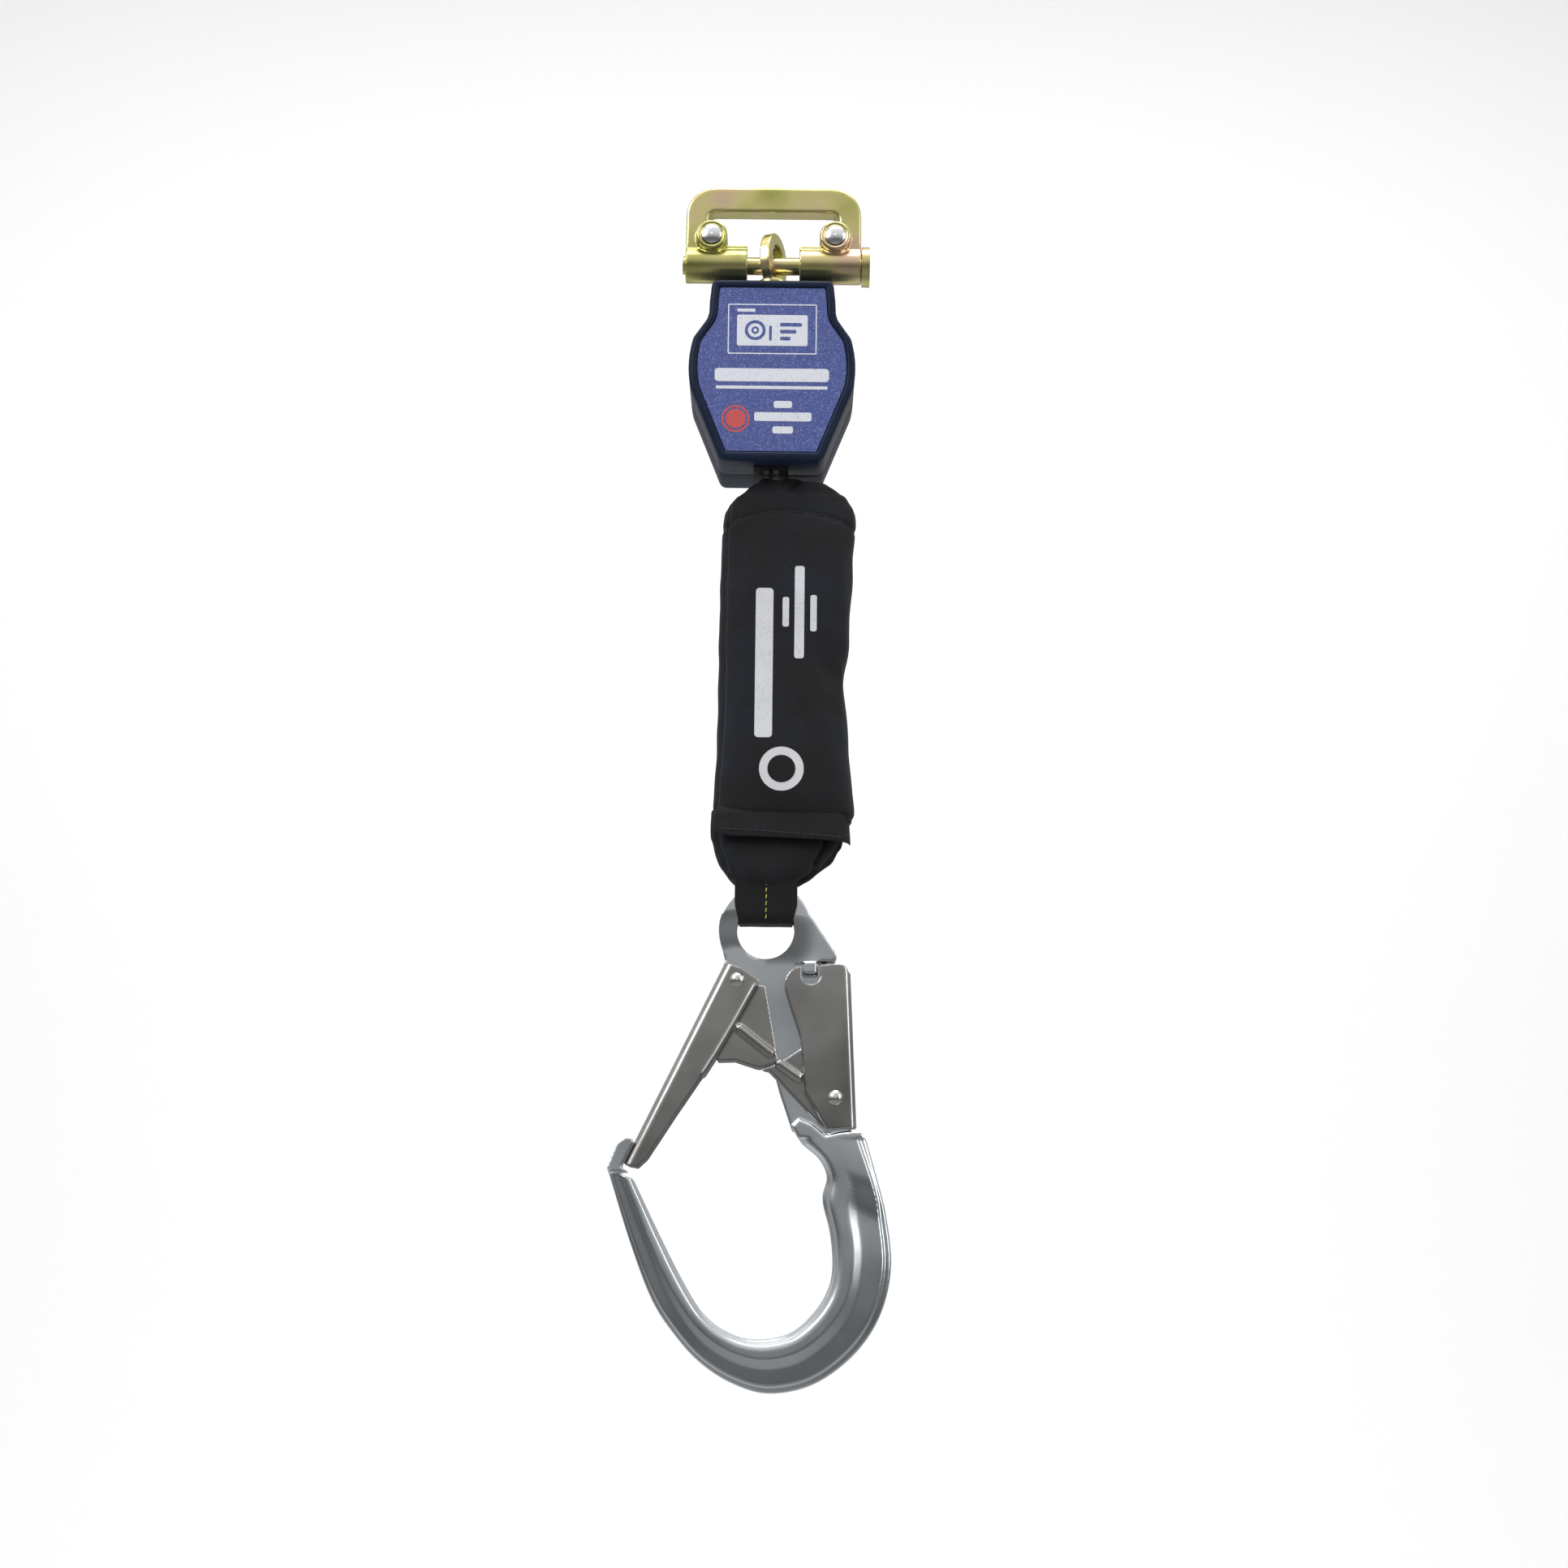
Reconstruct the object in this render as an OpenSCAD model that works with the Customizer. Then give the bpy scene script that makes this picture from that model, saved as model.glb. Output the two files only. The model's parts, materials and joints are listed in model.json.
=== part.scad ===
// Self retracting lifeline with a harness connector and a rebar hook.
// Origin at the centre of the locking pin, +X along the pin towards its head,
// -Y the front, +Z up. Every piece hangs below the pin on the Z axis.

/* [Connector] */
// Half of the connector's width along the pin
conn_half_w = 39.3; // [36:0.1:42]
// Top of the D frame above the pin's axis
conn_top = 35.3; // [33:0.1:38]
// Corner radius of the D frame
conn_corner_r = 13; // [8:1:15]
// Thickness of the D frame, front to back
conn_t = 10; // [8:0.5:12]
// Outside radius of the two barrels
barrel_r = 8; // [7:0.1:8.5]
// Inner end of each barrel from the centre
barrel_in = 11.7; // [10.5:0.1:13]
// Radius of the locking pin
pin_r = 4; // [3.5:0.1:4.5]
// Distance of each lock button from the centre
button_x = 27.6; // [26:0.1:29]
// Height of the lock buttons above the pin's axis
button_z = 11.3; // [11:0.1:12]
// Radius of a lock button
button_r = 4.35; // [4:0.05:4.6]

/* [Housing] */
// Top of the housing, below the pin
house_top = -14.5; // [-16:0.1:-14]
// Bottom of the housing
house_bottom = -97.3; // [-100:0.1:-96]
// Depth of the housing, front to back
house_depth = 46; // [44:1:50]
// Wall of the plastic shells
wall = 3; // [2.5:0.1:3.2]
// Height of the drum's axis
drum_z = -56; // [-57:0.5:-55]
// Width of the lifeline webbing
web_w = 20; // [18:1:20]

/* [Hook] */
// Radius of the hole in the hook's eye
eye_hole_r = 12.3; // [11:0.1:13]
// Height of the centre of the hook's eye
eye_z = -300.8; // [-302:0.1:-300]
// Half thickness of the thin web between eye and bow
spine_t = 3.2; // [3:0.1:3.3]
// Half thickness of the nose
nose_t = 5.5; // [4:0.1:6.5]
// Half thickness of the eye
eye_t = 6.5; // [6:0.1:6.5]
// Half thickness of the bow
bow_t = 7; // [6:0.5:8]
// Sheet thickness of the gate and the lever
sheet_t = 1.4; // [1:0.1:1.5]

/* [Hidden] */
$fn = 64;
gap = 0.3;
run_fit = 0.08;

// ---- Helpers ----

// Extrudes a drawing made in the X-Z plane, from y0 to y1
module plate(y0, y1) {
    translate([0, y1, 0])
        rotate([90, 0, 0])
            linear_extrude(y1 - y0)
                children();
}

// The same drawing at equal distances in front of and behind the middle
module plate_pair(y0, y1) {
    plate(y0, y1) children();
    plate(-y1, -y0) children();
}

// A cylinder along Y through (x, z)
module y_rod(x, z, r, y0, y1) {
    translate([x, y1, z])
        rotate([90, 0, 0])
            cylinder(r = r, h = y1 - y0);
}

// A cylinder along X on the pin's axis
module x_rod(r, x0, x1) {
    translate([x0, 0, 0])
        rotate([0, 90, 0])
            cylinder(r = r, h = x1 - x0);
}

// A cylinder along Z through the origin
module z_rod(r, z0, z1) {
    translate([0, 0, z0])
        cylinder(r = r, h = z1 - z0);
}

// A block between two corners
module block(low, high) {
    translate(low)
        cube(high - low);
}

// A flat rectangle between two corners
module area(low, high) {
    translate(low)
        square(high - low);
}

// A flat rectangle with round corners
module round_area(low, high, r) {
    area([low[0] + r, low[1]], [high[0] - r, high[1]]);
    area([low[0], low[1] + r], [high[0], high[1] - r]);
    for (x = [low[0] + r, high[0] - r], z = [low[1] + r, high[1] - r])
        translate([x, z])
            circle(r);
}

// Points of an arc
function arc(c, r, a0, a1, n) =
    [for (i = [0:n]) c + r * [cos(a0 + (a1 - a0) * i / n), sin(a0 + (a1 - a0) * i / n)]];

// Points from last to first
function reversed(points) = [for (i = [len(points) - 1:-1:0]) points[i]];

// Points mirrored to the other side of the Z axis, in the opposite order
function mirrored(points) = [for (p = reversed(points)) [-p[0], p[1]]];

// One point of a smooth curve through b and c
function curve_point(a, b, c, d, t) =
    0.5 * (2 * b + (c - a) * t + (2 * a - 5 * b + 4 * c - d) * t * t
        + (3 * b - a - 3 * c + d) * t * t * t);

// A smooth curve through the points, with n steps between two of them
function smooth(points, n) = [
    for (i = [0:len(points) - 2], k = [0:n - 1])
        curve_point(points[max(i - 1, 0)], points[i], points[i + 1],
            points[min(i + 2, len(points) - 1)], k / n),
    points[len(points) - 1]
];

// ---- Harness connector ----

slot_half_w = 29.25;
slot_top = 23.8;
slot_r = 3.5;
boss_r = 7;
boss_front = -9.5;
boss_back = 5.6;
button_bottom = -1;
button_hole_end = 3.4;
// Thickened shoulder between each barrel's inner end and its boss
shoulder_x = 16.5;
shoulder_half = 4.8;
groove_r = 3.1;
groove_w = 1.8;
pin_left = -40.6;
head_x = conn_half_w + gap;
head_t = 3.5;
head_r = 9;

module frame_outline() {
    area([-conn_half_w, 0], [conn_half_w, conn_top - conn_corner_r]);
    area([-conn_half_w + conn_corner_r, 0], [conn_half_w - conn_corner_r, conn_top]);
    for (side = [-1, 1])
        translate([side * (conn_half_w - conn_corner_r), conn_top - conn_corner_r])
            circle(conn_corner_r);
}

module connector_body() {
    color("darkkhaki")
        difference() {
            union() {
                plate(-conn_t / 2, conn_t / 2)
                    difference() {
                        frame_outline();
                        round_area([-slot_half_w, barrel_r - slot_r], [slot_half_w, slot_top], slot_r);
                        area([-barrel_in, -1], [barrel_in, barrel_r]);
                    }
                for (side = [-1, 1]) {
                    x_rod(barrel_r, side < 0 ? -conn_half_w : barrel_in,
                        side < 0 ? -barrel_in : conn_half_w);
                    y_rod(side * button_x, button_z, boss_r, boss_front, boss_back);
                    block([side * shoulder_x - shoulder_half, -conn_t / 2, 0],
                        [side * shoulder_x + shoulder_half, conn_t / 2, barrel_r]);
                }
            }
            x_rod(pin_r + run_fit, -conn_half_w - 1, conn_half_w + 1);
            for (side = [-1, 1]) {
                y_rod(side * button_x, button_z, button_r + run_fit, boss_front - 1, button_hole_end);
                // Passage of the wire catch from the button to the pin
                block([side * button_x - 1, -1.2, 2], [side * button_x + 1, 1.2, button_z]);
            }
        }
}

module locking_pin() {
    color("khaki") {
        difference() {
            x_rod(pin_r, pin_left, head_x);
            for (x = [-button_x, button_x])
                difference() {
                    x_rod(pin_r + 1, x - groove_w / 2, x + groove_w / 2);
                    x_rod(groove_r, x - groove_w, x + groove_w);
                }
        }
        x_rod(head_r, head_x, head_x + head_t);
    }
}

// Domed button with a shallow step that holds its spring
module lock_button(side) {
    dome_r = 9;
    dome_front = -11;
    color("silver")
        intersection() {
            y_rod(side * button_x, button_z, button_r, -12, button_bottom);
            translate([side * button_x, dome_front + dome_r, button_z])
                rotate([90, 0, 0])
                    union() {
                        sphere(dome_r);
                        translate([0, 0, -dome_r])
                            cylinder(r = dome_r, h = dome_r);
                    }
        }
}

module lock_button_left() lock_button(-1);

module lock_button_right() lock_button(1);

module button_springs() {
    color("gray")
        for (side = [-1, 1])
            difference() {
                y_rod(side * button_x, button_z, 3, button_bottom, button_hole_end);
                y_rod(side * button_x, button_z, 2.2, button_bottom - 1, button_hole_end + 1);
            }
}

// Wire catches that lie in the pin's grooves
module lock_springs() {
    wire = 0.6;
    color("gray")
        for (side = [-1, 1])
            block([side * button_x - wire, -wire, groove_r + 0.1],
                [side * button_x + wire, wire, button_z - button_r - 0.2]);
}

// ---- Swivel ----

ring_t = 4.6;
ring_hole_r = 6.4;
ring_wall = 5.3;
ring_up = 3;
ring_down = 1.3;
ring_turn = -20;
shank_r = 5;
swivel_bush_r = 6.2;
washer_r = 8.6;
washer_mid = -11.9;
washer_bottom = -13.9;
bridge_top = -17.7;
bridge_bottom = -20.7;
nut_bottom = -24.9;
flange_top = -8;
flange_bottom = -10;

module ring_outline(r) {
    for (z = [ring_up, ring_down])
        translate([0, z])
            circle(r);
    area([-r, ring_down], [r, ring_up]);
}

// The ring stands a little askew on the pin, as far as its wide hole lets it
module ring_disc(t, r) {
    rotate([0, 0, ring_turn])
        translate([-t / 2, 0, 0])
            rotate([90, 0, 90])
                linear_extrude(t)
                    ring_outline(r);
}

module swivel_eye() {
    color("goldenrod")
        difference() {
            union() {
                ring_disc(ring_t, ring_hole_r + ring_wall);
                z_rod(7.4, flange_bottom, flange_top);
                z_rod(shank_r, nut_bottom, flange_top);
            }
            ring_disc(2 * ring_t, ring_hole_r);
        }
}

module thrust_washers() {
    color("silver")
        difference() {
            union() {
                z_rod(washer_r, washer_mid, flange_bottom - 0.05);
                z_rod(washer_r - 0.4, washer_bottom, washer_mid);
            }
            z_rod(shank_r + run_fit, washer_bottom - 1, flange_bottom);
        }
}

module swivel_bush() {
    color("peru")
        difference() {
            z_rod(swivel_bush_r, bridge_bottom, washer_bottom - 0.2);
            z_rod(shank_r + run_fit, bridge_bottom - 1, washer_bottom + 1);
        }
}

module swivel_nut() {
    color("silver")
        difference() {
            z_rod(9, nut_bottom, bridge_bottom - 0.15);
            z_rod(shank_r, nut_bottom - 1, bridge_bottom);
        }
}

// ---- Housing ----

half_depth = house_depth / 2;
neck_half = 27;
bulge_r = 47;
bulge_x = -10.4;
bulge_z = -54.5;
foot_x = 20;
foot_r = 3.5;
guide_x = 5;
guide_y = 12.5;
label_recess = 0.9;
screw_places = [[-20, -25.2], [20, -25.2], [-15.5, -88.4], [15.5, -88.4]];
screw_r = 1.3;
screw_head_r = 2.8;
screw_head_in = 3;
post_r = 3.6;

// Right half of the housing's outline from top to bottom, moved inwards by i
function housing_side(i) = concat(
    arc([neck_half - wall, house_top - wall], max(wall - i, 0.01), 90, 0, 6),
    [[27.9 - i, -30.5 - 0.3 * i]],
    arc([bulge_x, bulge_z], bulge_r - i, 16.7, -13, 12),
    arc([foot_x, house_bottom + foot_r], foot_r - i, -22, -90, 6)
);

module housing_outline(i) {
    side = housing_side(i);
    polygon(concat(side, mirrored(side)));
}

function label_side(i) = concat(
    arc([21, -19], 2.5 - i, 90, 0, 4),
    [[23.5 - i, -31.6]],
    arc([-10.4, -55.5], 42.6 - i, 21, -10, 8),
    arc([17.4, -89], 2 - i, -20, -90, 4)
);

module label_outline(i) {
    side = label_side(i);
    polygon(concat(side, mirrored(side)));
}

// One shell between y0 and y1; the hollow runs from h0 to h1
module shell(y0, y1, h0, h1) {
    difference() {
        union() {
            difference() {
                plate(y0, y1) housing_outline(0);
                plate(h0, h1) housing_outline(wall);
            }
            for (p = screw_places)
                y_rod(p[0], p[1], post_r, y0, y1);
        }
        z_rod(swivel_bush_r + gap, -30, 0);
        block([-guide_x - 1, -guide_y - 1, house_bottom - 1],
            [guide_x + 1, guide_y + 1, house_bottom + wall + 1]);
    }
}

module front_housing() {
    color("midnightblue")
        difference() {
            shell(-half_depth, -0.05, -half_depth + wall, 1);
            plate(-half_depth - 1, -half_depth + label_recess) label_outline(0);
            for (p = screw_places)
                y_rod(p[0], p[1], screw_r, -half_depth + 5, 1);
        }
}

module rear_housing() {
    color("midnightblue")
        difference() {
            shell(0.05, half_depth, -1, half_depth - wall);
            plate(half_depth - label_recess, half_depth + 1) label_outline(0);
            for (p = screw_places) {
                y_rod(p[0], p[1], screw_r + gap, -1, half_depth + 1);
                y_rod(p[0], p[1], screw_head_r + 0.2, half_depth - screw_head_in, half_depth + 1);
            }
        }
}

module front_label() {
    color("royalblue")
        plate(-half_depth + label_recess - 0.4, -half_depth + label_recess) label_outline(0.2);
}

module rear_label() {
    color("royalblue")
        difference() {
            plate(half_depth - label_recess, half_depth - label_recess + 0.4) label_outline(0.2);
            for (p = screw_places)
                y_rod(p[0], p[1], post_r, 0, half_depth + 1);
        }
}

module housing_screws() {
    color("dimgray")
        for (p = screw_places)
            difference() {
                union() {
                    y_rod(p[0], p[1], screw_r, -half_depth + 7, half_depth - 1.3);
                    y_rod(p[0], p[1], screw_head_r, half_depth - screw_head_in, half_depth - 1);
                }
                // Socket for the driver
                y_rod(p[0], p[1], 1.2, half_depth - 2.2, half_depth);
            }
}

// ---- Load frame and reel ----

side_in = 12.6;
side_out = 14.4;
frame_half = 13;
shaft_r = 4;
sleeve_r = 7.2;
sleeve_hole_r = 7.8;
bush_r = 5.6;
sleeve_half = 15;
bush_in = 7;
hub_r = 10;
flange_r = 28.5;
flange_in = 10.3;
flange_out = 11.9;
arbor_end = 19;
reel_out = 19.4;
reel_case_r = 25.5;

module load_frame() {
    color("silver")
        difference() {
            union() {
                block([-frame_half, -side_out, bridge_bottom], [frame_half, side_out, bridge_top]);
                plate_pair(side_in, side_out)
                    union() {
                        area([-frame_half, drum_z], [frame_half, bridge_top]);
                        translate([0, drum_z])
                            circle(frame_half);
                    }
            }
            z_rod(swivel_bush_r, bridge_bottom - 1, bridge_top + 1);
            y_rod(0, drum_z, sleeve_hole_r, -side_out - 1, side_out + 1);
        }
}

// Funnel that leads the webbing out of the bottom of the shells
module web_guide() {
    neck = [guide_x + 0.8, guide_y + 0.8];
    lip = [guide_x + 2.5, guide_y + 2.5];
    mouth = [guide_x - 1.6, guide_y - 1.2];
    color("black")
        difference() {
            union() {
                block([-neck[0], -neck[1], house_bottom], [neck[0], neck[1], house_bottom + wall + 0.8]);
                block([-lip[0], -lip[1], house_bottom - 1.2], [lip[0], lip[1], house_bottom - 0.02]);
            }
            block([-mouth[0], -mouth[1], house_bottom - 2], [mouth[0], mouth[1], house_bottom + wall + 2]);
        }
}

module drum() {
    color("gainsboro")
        difference() {
            union() {
                y_rod(0, drum_z, hub_r, -flange_out, flange_out);
                y_rod(0, drum_z, flange_r, flange_in, flange_out);
                y_rod(0, drum_z, flange_r, -flange_out, -flange_in);
                y_rod(0, drum_z, sleeve_r, -sleeve_half, sleeve_half);
            }
            y_rod(0, drum_z, bush_r, -sleeve_half - 1, sleeve_half + 1);
        }
}

module drum_shaft() {
    color("silver")
        y_rod(0, drum_z, shaft_r, -half_depth + wall, half_depth - wall);
}

module shaft_bushes() {
    color("peru")
        difference() {
            union() {
                y_rod(0, drum_z, bush_r, -sleeve_half, -bush_in);
                y_rod(0, drum_z, bush_r, bush_in, sleeve_half);
            }
            y_rod(0, drum_z, shaft_r + run_fit, -sleeve_half - 1, sleeve_half + 1);
        }
}

module wound_webbing() {
    color("black")
        difference() {
            y_rod(0, drum_z, 26.5, -web_w / 2, web_w / 2);
            y_rod(0, drum_z, hub_r, -web_w, web_w);
        }
}

module spring_arbor() {
    color("silver")
        difference() {
            y_rod(0, drum_z, sleeve_r, sleeve_half, arbor_end);
            y_rod(0, drum_z, shaft_r + run_fit, sleeve_half - 1, arbor_end + 1);
        }
}

module power_spring() {
    coils = 6;
    inner = sleeve_r + 0.2;
    pitch = 2.7;
    strip_t = 1;
    color("steelblue")
        for (i = [0:coils - 1])
            difference() {
                y_rod(0, drum_z, inner + i * pitch + strip_t, sleeve_half + 0.4, arbor_end - 0.2);
                y_rod(0, drum_z, inner + i * pitch, sleeve_half, arbor_end);
            }
}

module spring_cup() {
    color("gray")
        difference() {
            y_rod(0, drum_z, reel_case_r, side_out, reel_out);
            y_rod(0, drum_z, reel_case_r - 1.5, side_out + 0.6, reel_out + 1);
            y_rod(0, drum_z, sleeve_hole_r, side_out - 1, side_out + 2);
        }
}

// ---- Centrifugal brake ----

teeth = 8;
tooth_tip_r = 19.5;
tooth_root_r = 22.5;
tooth_phase = 53;
brake_front = -19.3;
brake_back = -15.9;
pawl_pivot_r = 11;
pawl_boss_r = 2.6;
pawl_pin_r = 1.2;

module ratchet_ring() {
    step = 360 / teeth;
    color("silver")
        difference() {
            y_rod(0, drum_z, reel_case_r, brake_front, -side_out);
            translate([0, 0, drum_z])
                plate(brake_front - 1, 0)
                    polygon([
                        for (k = [0:teeth - 1], r = [tooth_tip_r, tooth_root_r])
                            let (a = tooth_phase + (k + (r == tooth_root_r ? 0.99 : 0)) * step)
                                r * [cos(a), sin(a)]
                    ]);
        }
}

module pawl_carrier() {
    color("gray")
        difference() {
            y_rod(0, drum_z, 14, brake_back + 0.1, -sleeve_half);
            y_rod(0, drum_z, shaft_r + run_fit, brake_back - 1, 1 - sleeve_half);
            for (side = [-1, 1])
                y_rod(side * pawl_pivot_r, drum_z, pawl_pin_r, brake_back - 1, 1 - sleeve_half);
        }
}

module pawl_pins() {
    color("silver")
        for (side = [-1, 1])
        y_rod(side * pawl_pivot_r, drum_z, pawl_pin_r, brake_front, -sleeve_half);
}

// A pawl on the right of the shaft; its tip points round the drum
module pawl() {
    color("dimgray")
        difference() {
            plate(brake_front + 0.2, brake_back) {
                translate([pawl_pivot_r, 0])
                    circle(pawl_boss_r);
                polygon([
                    [pawl_pivot_r - pawl_boss_r, 0], [pawl_pivot_r + pawl_boss_r, 0],
                    [12.6, 7.5], [11.3, 14.6], [9.4, 13.6], [8.4, 7]
                ]);
            }
            y_rod(pawl_pivot_r, 0, pawl_pin_r + run_fit, brake_front - 1, -14);
        }
}

module pawl_a() {
    translate([0, 0, drum_z])
        pawl();
}

module pawl_b() {
    translate([0, 0, drum_z])
        rotate([0, 180, 0])
            pawl();
}

module pawl_springs() {
    color("gray")
        translate([0, 0, drum_z])
            for (turn = [0, 180])
                rotate([0, turn, 0])
                    block([5.2, -17.5, 4], [8, -16.9, 4.6]);
}

// ---- Lifeline, energy absorber and cover ----

web_t = 1.6;
upper_loop_top = -106.3;
lower_web_top = -250.3;
cover_t = 28;
cover_top = -99.2;
sleeve_end = -256;
pack_low = [-17, -9, -250];
pack_high = [29, 9, -120];
strap_half = 13.4;
hinge_z = -283;
loop_top = -277;
loop_clear_r = 11.6;

module lifeline_web() {
    color("black")
        block([-web_t / 2, -web_w / 2, upper_loop_top + 0.3],
            [web_t / 2, web_w / 2, drum_z - flange_r + 1.3]);
}

module absorber_upper_loop() {
    color("black")
        block([-3, -web_w / 2, pack_high[2] + 0.3], [3, web_w / 2, upper_loop_top]);
}

module absorber_pack() {
    color("dimgray")
        block(pack_low, pack_high);
}

module absorber_wrap() {
    film = 0.4;
    rim = [film + 0.1, film + 0.1, 0];
    inside = [0.1, 0.1, -1];
    color("lightgray")
        difference() {
            block(pack_low - rim + [0, 0, 4], pack_high + rim - [0, 0, 4]);
            block(pack_low - inside - [0.2, 0.2, 2], pack_high + inside + [0, 0, 2]);
        }
}

module absorber_lower_web() {
    color("black")
        block([-strap_half, -web_t, loop_top + 0.2], [strap_half, web_t, lower_web_top]);
}

module cover_outline() {
    polygon(concat(
        smooth([[0, cover_top], [22, cover_top - 0.8], [28.8, -105], [36, -111.5], [37, -130],
            [36.8, -160], [33.6, -192], [35.7, -214], [36.3, -240], [36.4, sleeve_end]], 3),
        reversed(smooth([[0, cover_top], [-10, -103.8], [-18, -109.2], [-23, -122], [-24, -160],
            [-24.4, -198], [-24.6, -224], [-25.9, -246], [-25.1, sleeve_end]], 3))
    ));
}

module cover_sleeve() {
    color("black")
        difference() {
            plate(-cover_t / 2, cover_t / 2) cover_outline();
            block([-19, -11, sleeve_end - 1], [31, 11, -117]);
            block([-4, -11, -118], [4, 11, cover_top + 1]);
        }
}

// Flat strip sewn along the sleeve's left edge
module cover_gusset() {
    color("black")
        block([-27.2, -6, -250], [-26, 6, -128]);
}

module cover_flap() {
    color("black")
        block([-24.8, -cover_t / 2 - 0.9, -264], [36.2, -cover_t / 2 - 0.05, -246]);
}

module cover_pouch() {
    color("black")
        difference() {
            plate(-10.5, 10.5)
                polygon(concat(
                    [[-24.5, sleeve_end - 0.1]],
                    smooth([[-24, -262], [-21.7, -270.1], [-17.8, -277], [-10, -281], [4, -282],
                        [15.1, -278.7], [24, -274], [30, -268], [34, -262]], 3),
                    [[35, sleeve_end - 0.1]]
                ));
            translate([-40, 0, hinge_z])
                rotate([0, 90, 0])
                    cylinder(r = loop_clear_r, h = 90);
            block([-strap_half - 0.6, -web_t - 0.6, -285], [strap_half + 0.6, web_t + 0.6, -250]);
        }
}

// Webbing loop through the eye of the hook
module eye_loop() {
    leg_in = 6.75;
    leg_out = 9.4;
    loop_bottom = -298.4;
    color("black") {
        for (side = [-1, 1])
            block([-strap_half, side < 0 ? -leg_out : leg_in, loop_bottom],
                [strap_half, side < 0 ? -leg_in : leg_out, loop_top]);
        block([-10, -leg_in, loop_bottom], [10, leg_in, loop_bottom + 4.2]);
        block([-strap_half, -leg_in, loop_top - 3], [strap_half, leg_in, loop_top]);
    }
}

// ---- Rebar hook ----

gate_pin = [-11.9, -322.4];
gate_turn = 244.1;
gate_dir = [cos(gate_turn), sin(gate_turn)];
gate_side = [-sin(gate_turn), cos(gate_turn)];
gate_len = 90.6;
gate_edge = 8;
lever_pin = [30.3, -372];
rivet_r = 2;
// Reach of the rivet holes through the whole hook
through = 9;
spring_t = 0.9;
panel_in = 5.2;
panel_out = panel_in + sheet_t;
tab_in = 3.5;
tab_out = tab_in + sheet_t;
tab_r = 38.9;
eye_bottom = -314.2;
relief_r = 12.9;

// A place in the gate's own directions: along it from the rivet, and across
function on_gate(along, across) = gate_pin + along * gate_dir + across * gate_side;

module eye_outline() {
    difference() {
        union() {
            translate([0, eye_z])
                circle(20);
            polygon([[13, -285.5], [30.2, -310.5], [30.6, -312.2], [29.5, eye_bottom], [-16, eye_bottom],
                [-18.8, eye_z - 7]]);
        }
        area([-30, -345], [40, eye_bottom]);
        translate(gate_pin)
            circle(relief_r);
        translate([0, eye_z])
            circle(eye_hole_r);
    }
}

module spine_outline() {
    difference() {
        polygon(concat(
            [[-18.4, eye_z - 8], [-17.2, eye_bottom + 0.5]],
            arc(gate_pin, 7.6, 160, 250, 6),
            [[-12.5, -333], [3.9, -360], [6.8, -370.3], [12.2, -386], [38, -388], [35, -380],
                [26, -318], [26, eye_bottom + 2]]
        ));
        translate([0, eye_z])
            circle(eye_hole_r);
    }
}

// Bow from the step under the lever round to the nose
module bow_outline() {
    outer = smooth([[41.5, -386.5], [46.7, -400.5], [52, -420.8], [54.2, -442.7], [49.6, -462.5],
        [38.8, -478.6], [22, -490.8], [3.5, -494.7], [-12, -490.6], [-25.5, -482.2],
        [-36.5, -470.6], [-46, -456.5], [-55.5, -433], [-65.5, -403.5]], 3);
    inner = smooth([[-54, -407.5], [-43.6, -428.9], [-33, -448.9], [-24.2, -462.2], [-13.9, -469.7],
        [-1.9, -472.6], [11.6, -470], [21.7, -461.6], [27.9, -451.4], [29.6, -441.4],
        [28.4, -427.9], [25.2, -414.4], [27, -405], [23.7, -397.4], [16.4, -390.9], [12.2, -384.2]], 3);
    step = [[15, -381.2], [20.5, -383.4], [26.3, -388.3], [32.4, -386.8], [40, -386]];
    polygon(concat(outer, inner, step));
}

// Lip that the gate's tip closes against
module nose_outline() {
    lip = -gate_edge - 0.4;
    polygon([[-57, -414], on_gate(gate_len + 5, -0.8), on_gate(gate_len + 2.4, -3.4),
        on_gate(gate_len + 1.8, lip), on_gate(gate_len - 10, lip), on_gate(gate_len - 11, lip - 1.6),
        on_gate(gate_len - 10.2, lip - 3.8), on_gate(gate_len - 6.5, lip - 5.9),
        on_gate(gate_len + 4.6, lip - 5.1), [-62, -412]]);
}

module hook_body() {
    color("lightsteelblue")
        difference() {
            union() {
                plate(-eye_t, eye_t) eye_outline();
                plate(-spine_t, spine_t) spine_outline();
                plate(-bow_t, bow_t) bow_outline();
                plate(-nose_t, nose_t) nose_outline();
                // Stop tab in the lever's notch
                block([16.8, -eye_t, -319.6], [21.8, eye_t, eye_bottom + 1]);
            }
            y_rod(gate_pin[0], gate_pin[1], rivet_r + run_fit, -through, through);
            y_rod(lever_pin[0], lever_pin[1], rivet_r + run_fit, -through, through);
        }
}

module gate_panel() {
    polygon([
        on_gate(-4.4, -gate_edge), on_gate(-5.4, -1), on_gate(-4.4, 8), on_gate(-3.2, 8.9),
        on_gate(30, 7.2), on_gate(40, 5.6), on_gate(64, 2.4), on_gate(gate_len - 6, 0),
        on_gate(gate_len - 1, -1.9), on_gate(gate_len, -5), on_gate(gate_len, -gate_edge)
    ]);
}

module gate_web_outline() {
    intersection() {
        polygon([
            on_gate(-2, 7.5), [0.2, -324.7], [5.5, -354.1], [7.2, -362], [-3.7, -359.6],
            [-12.4, -356.8], on_gate(34.5, 8.3), on_gate(33, 6.2), on_gate(0, 6.8)
        ]);
        translate(gate_pin)
            circle(tab_r, $fn = 128);
    }
}

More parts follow.
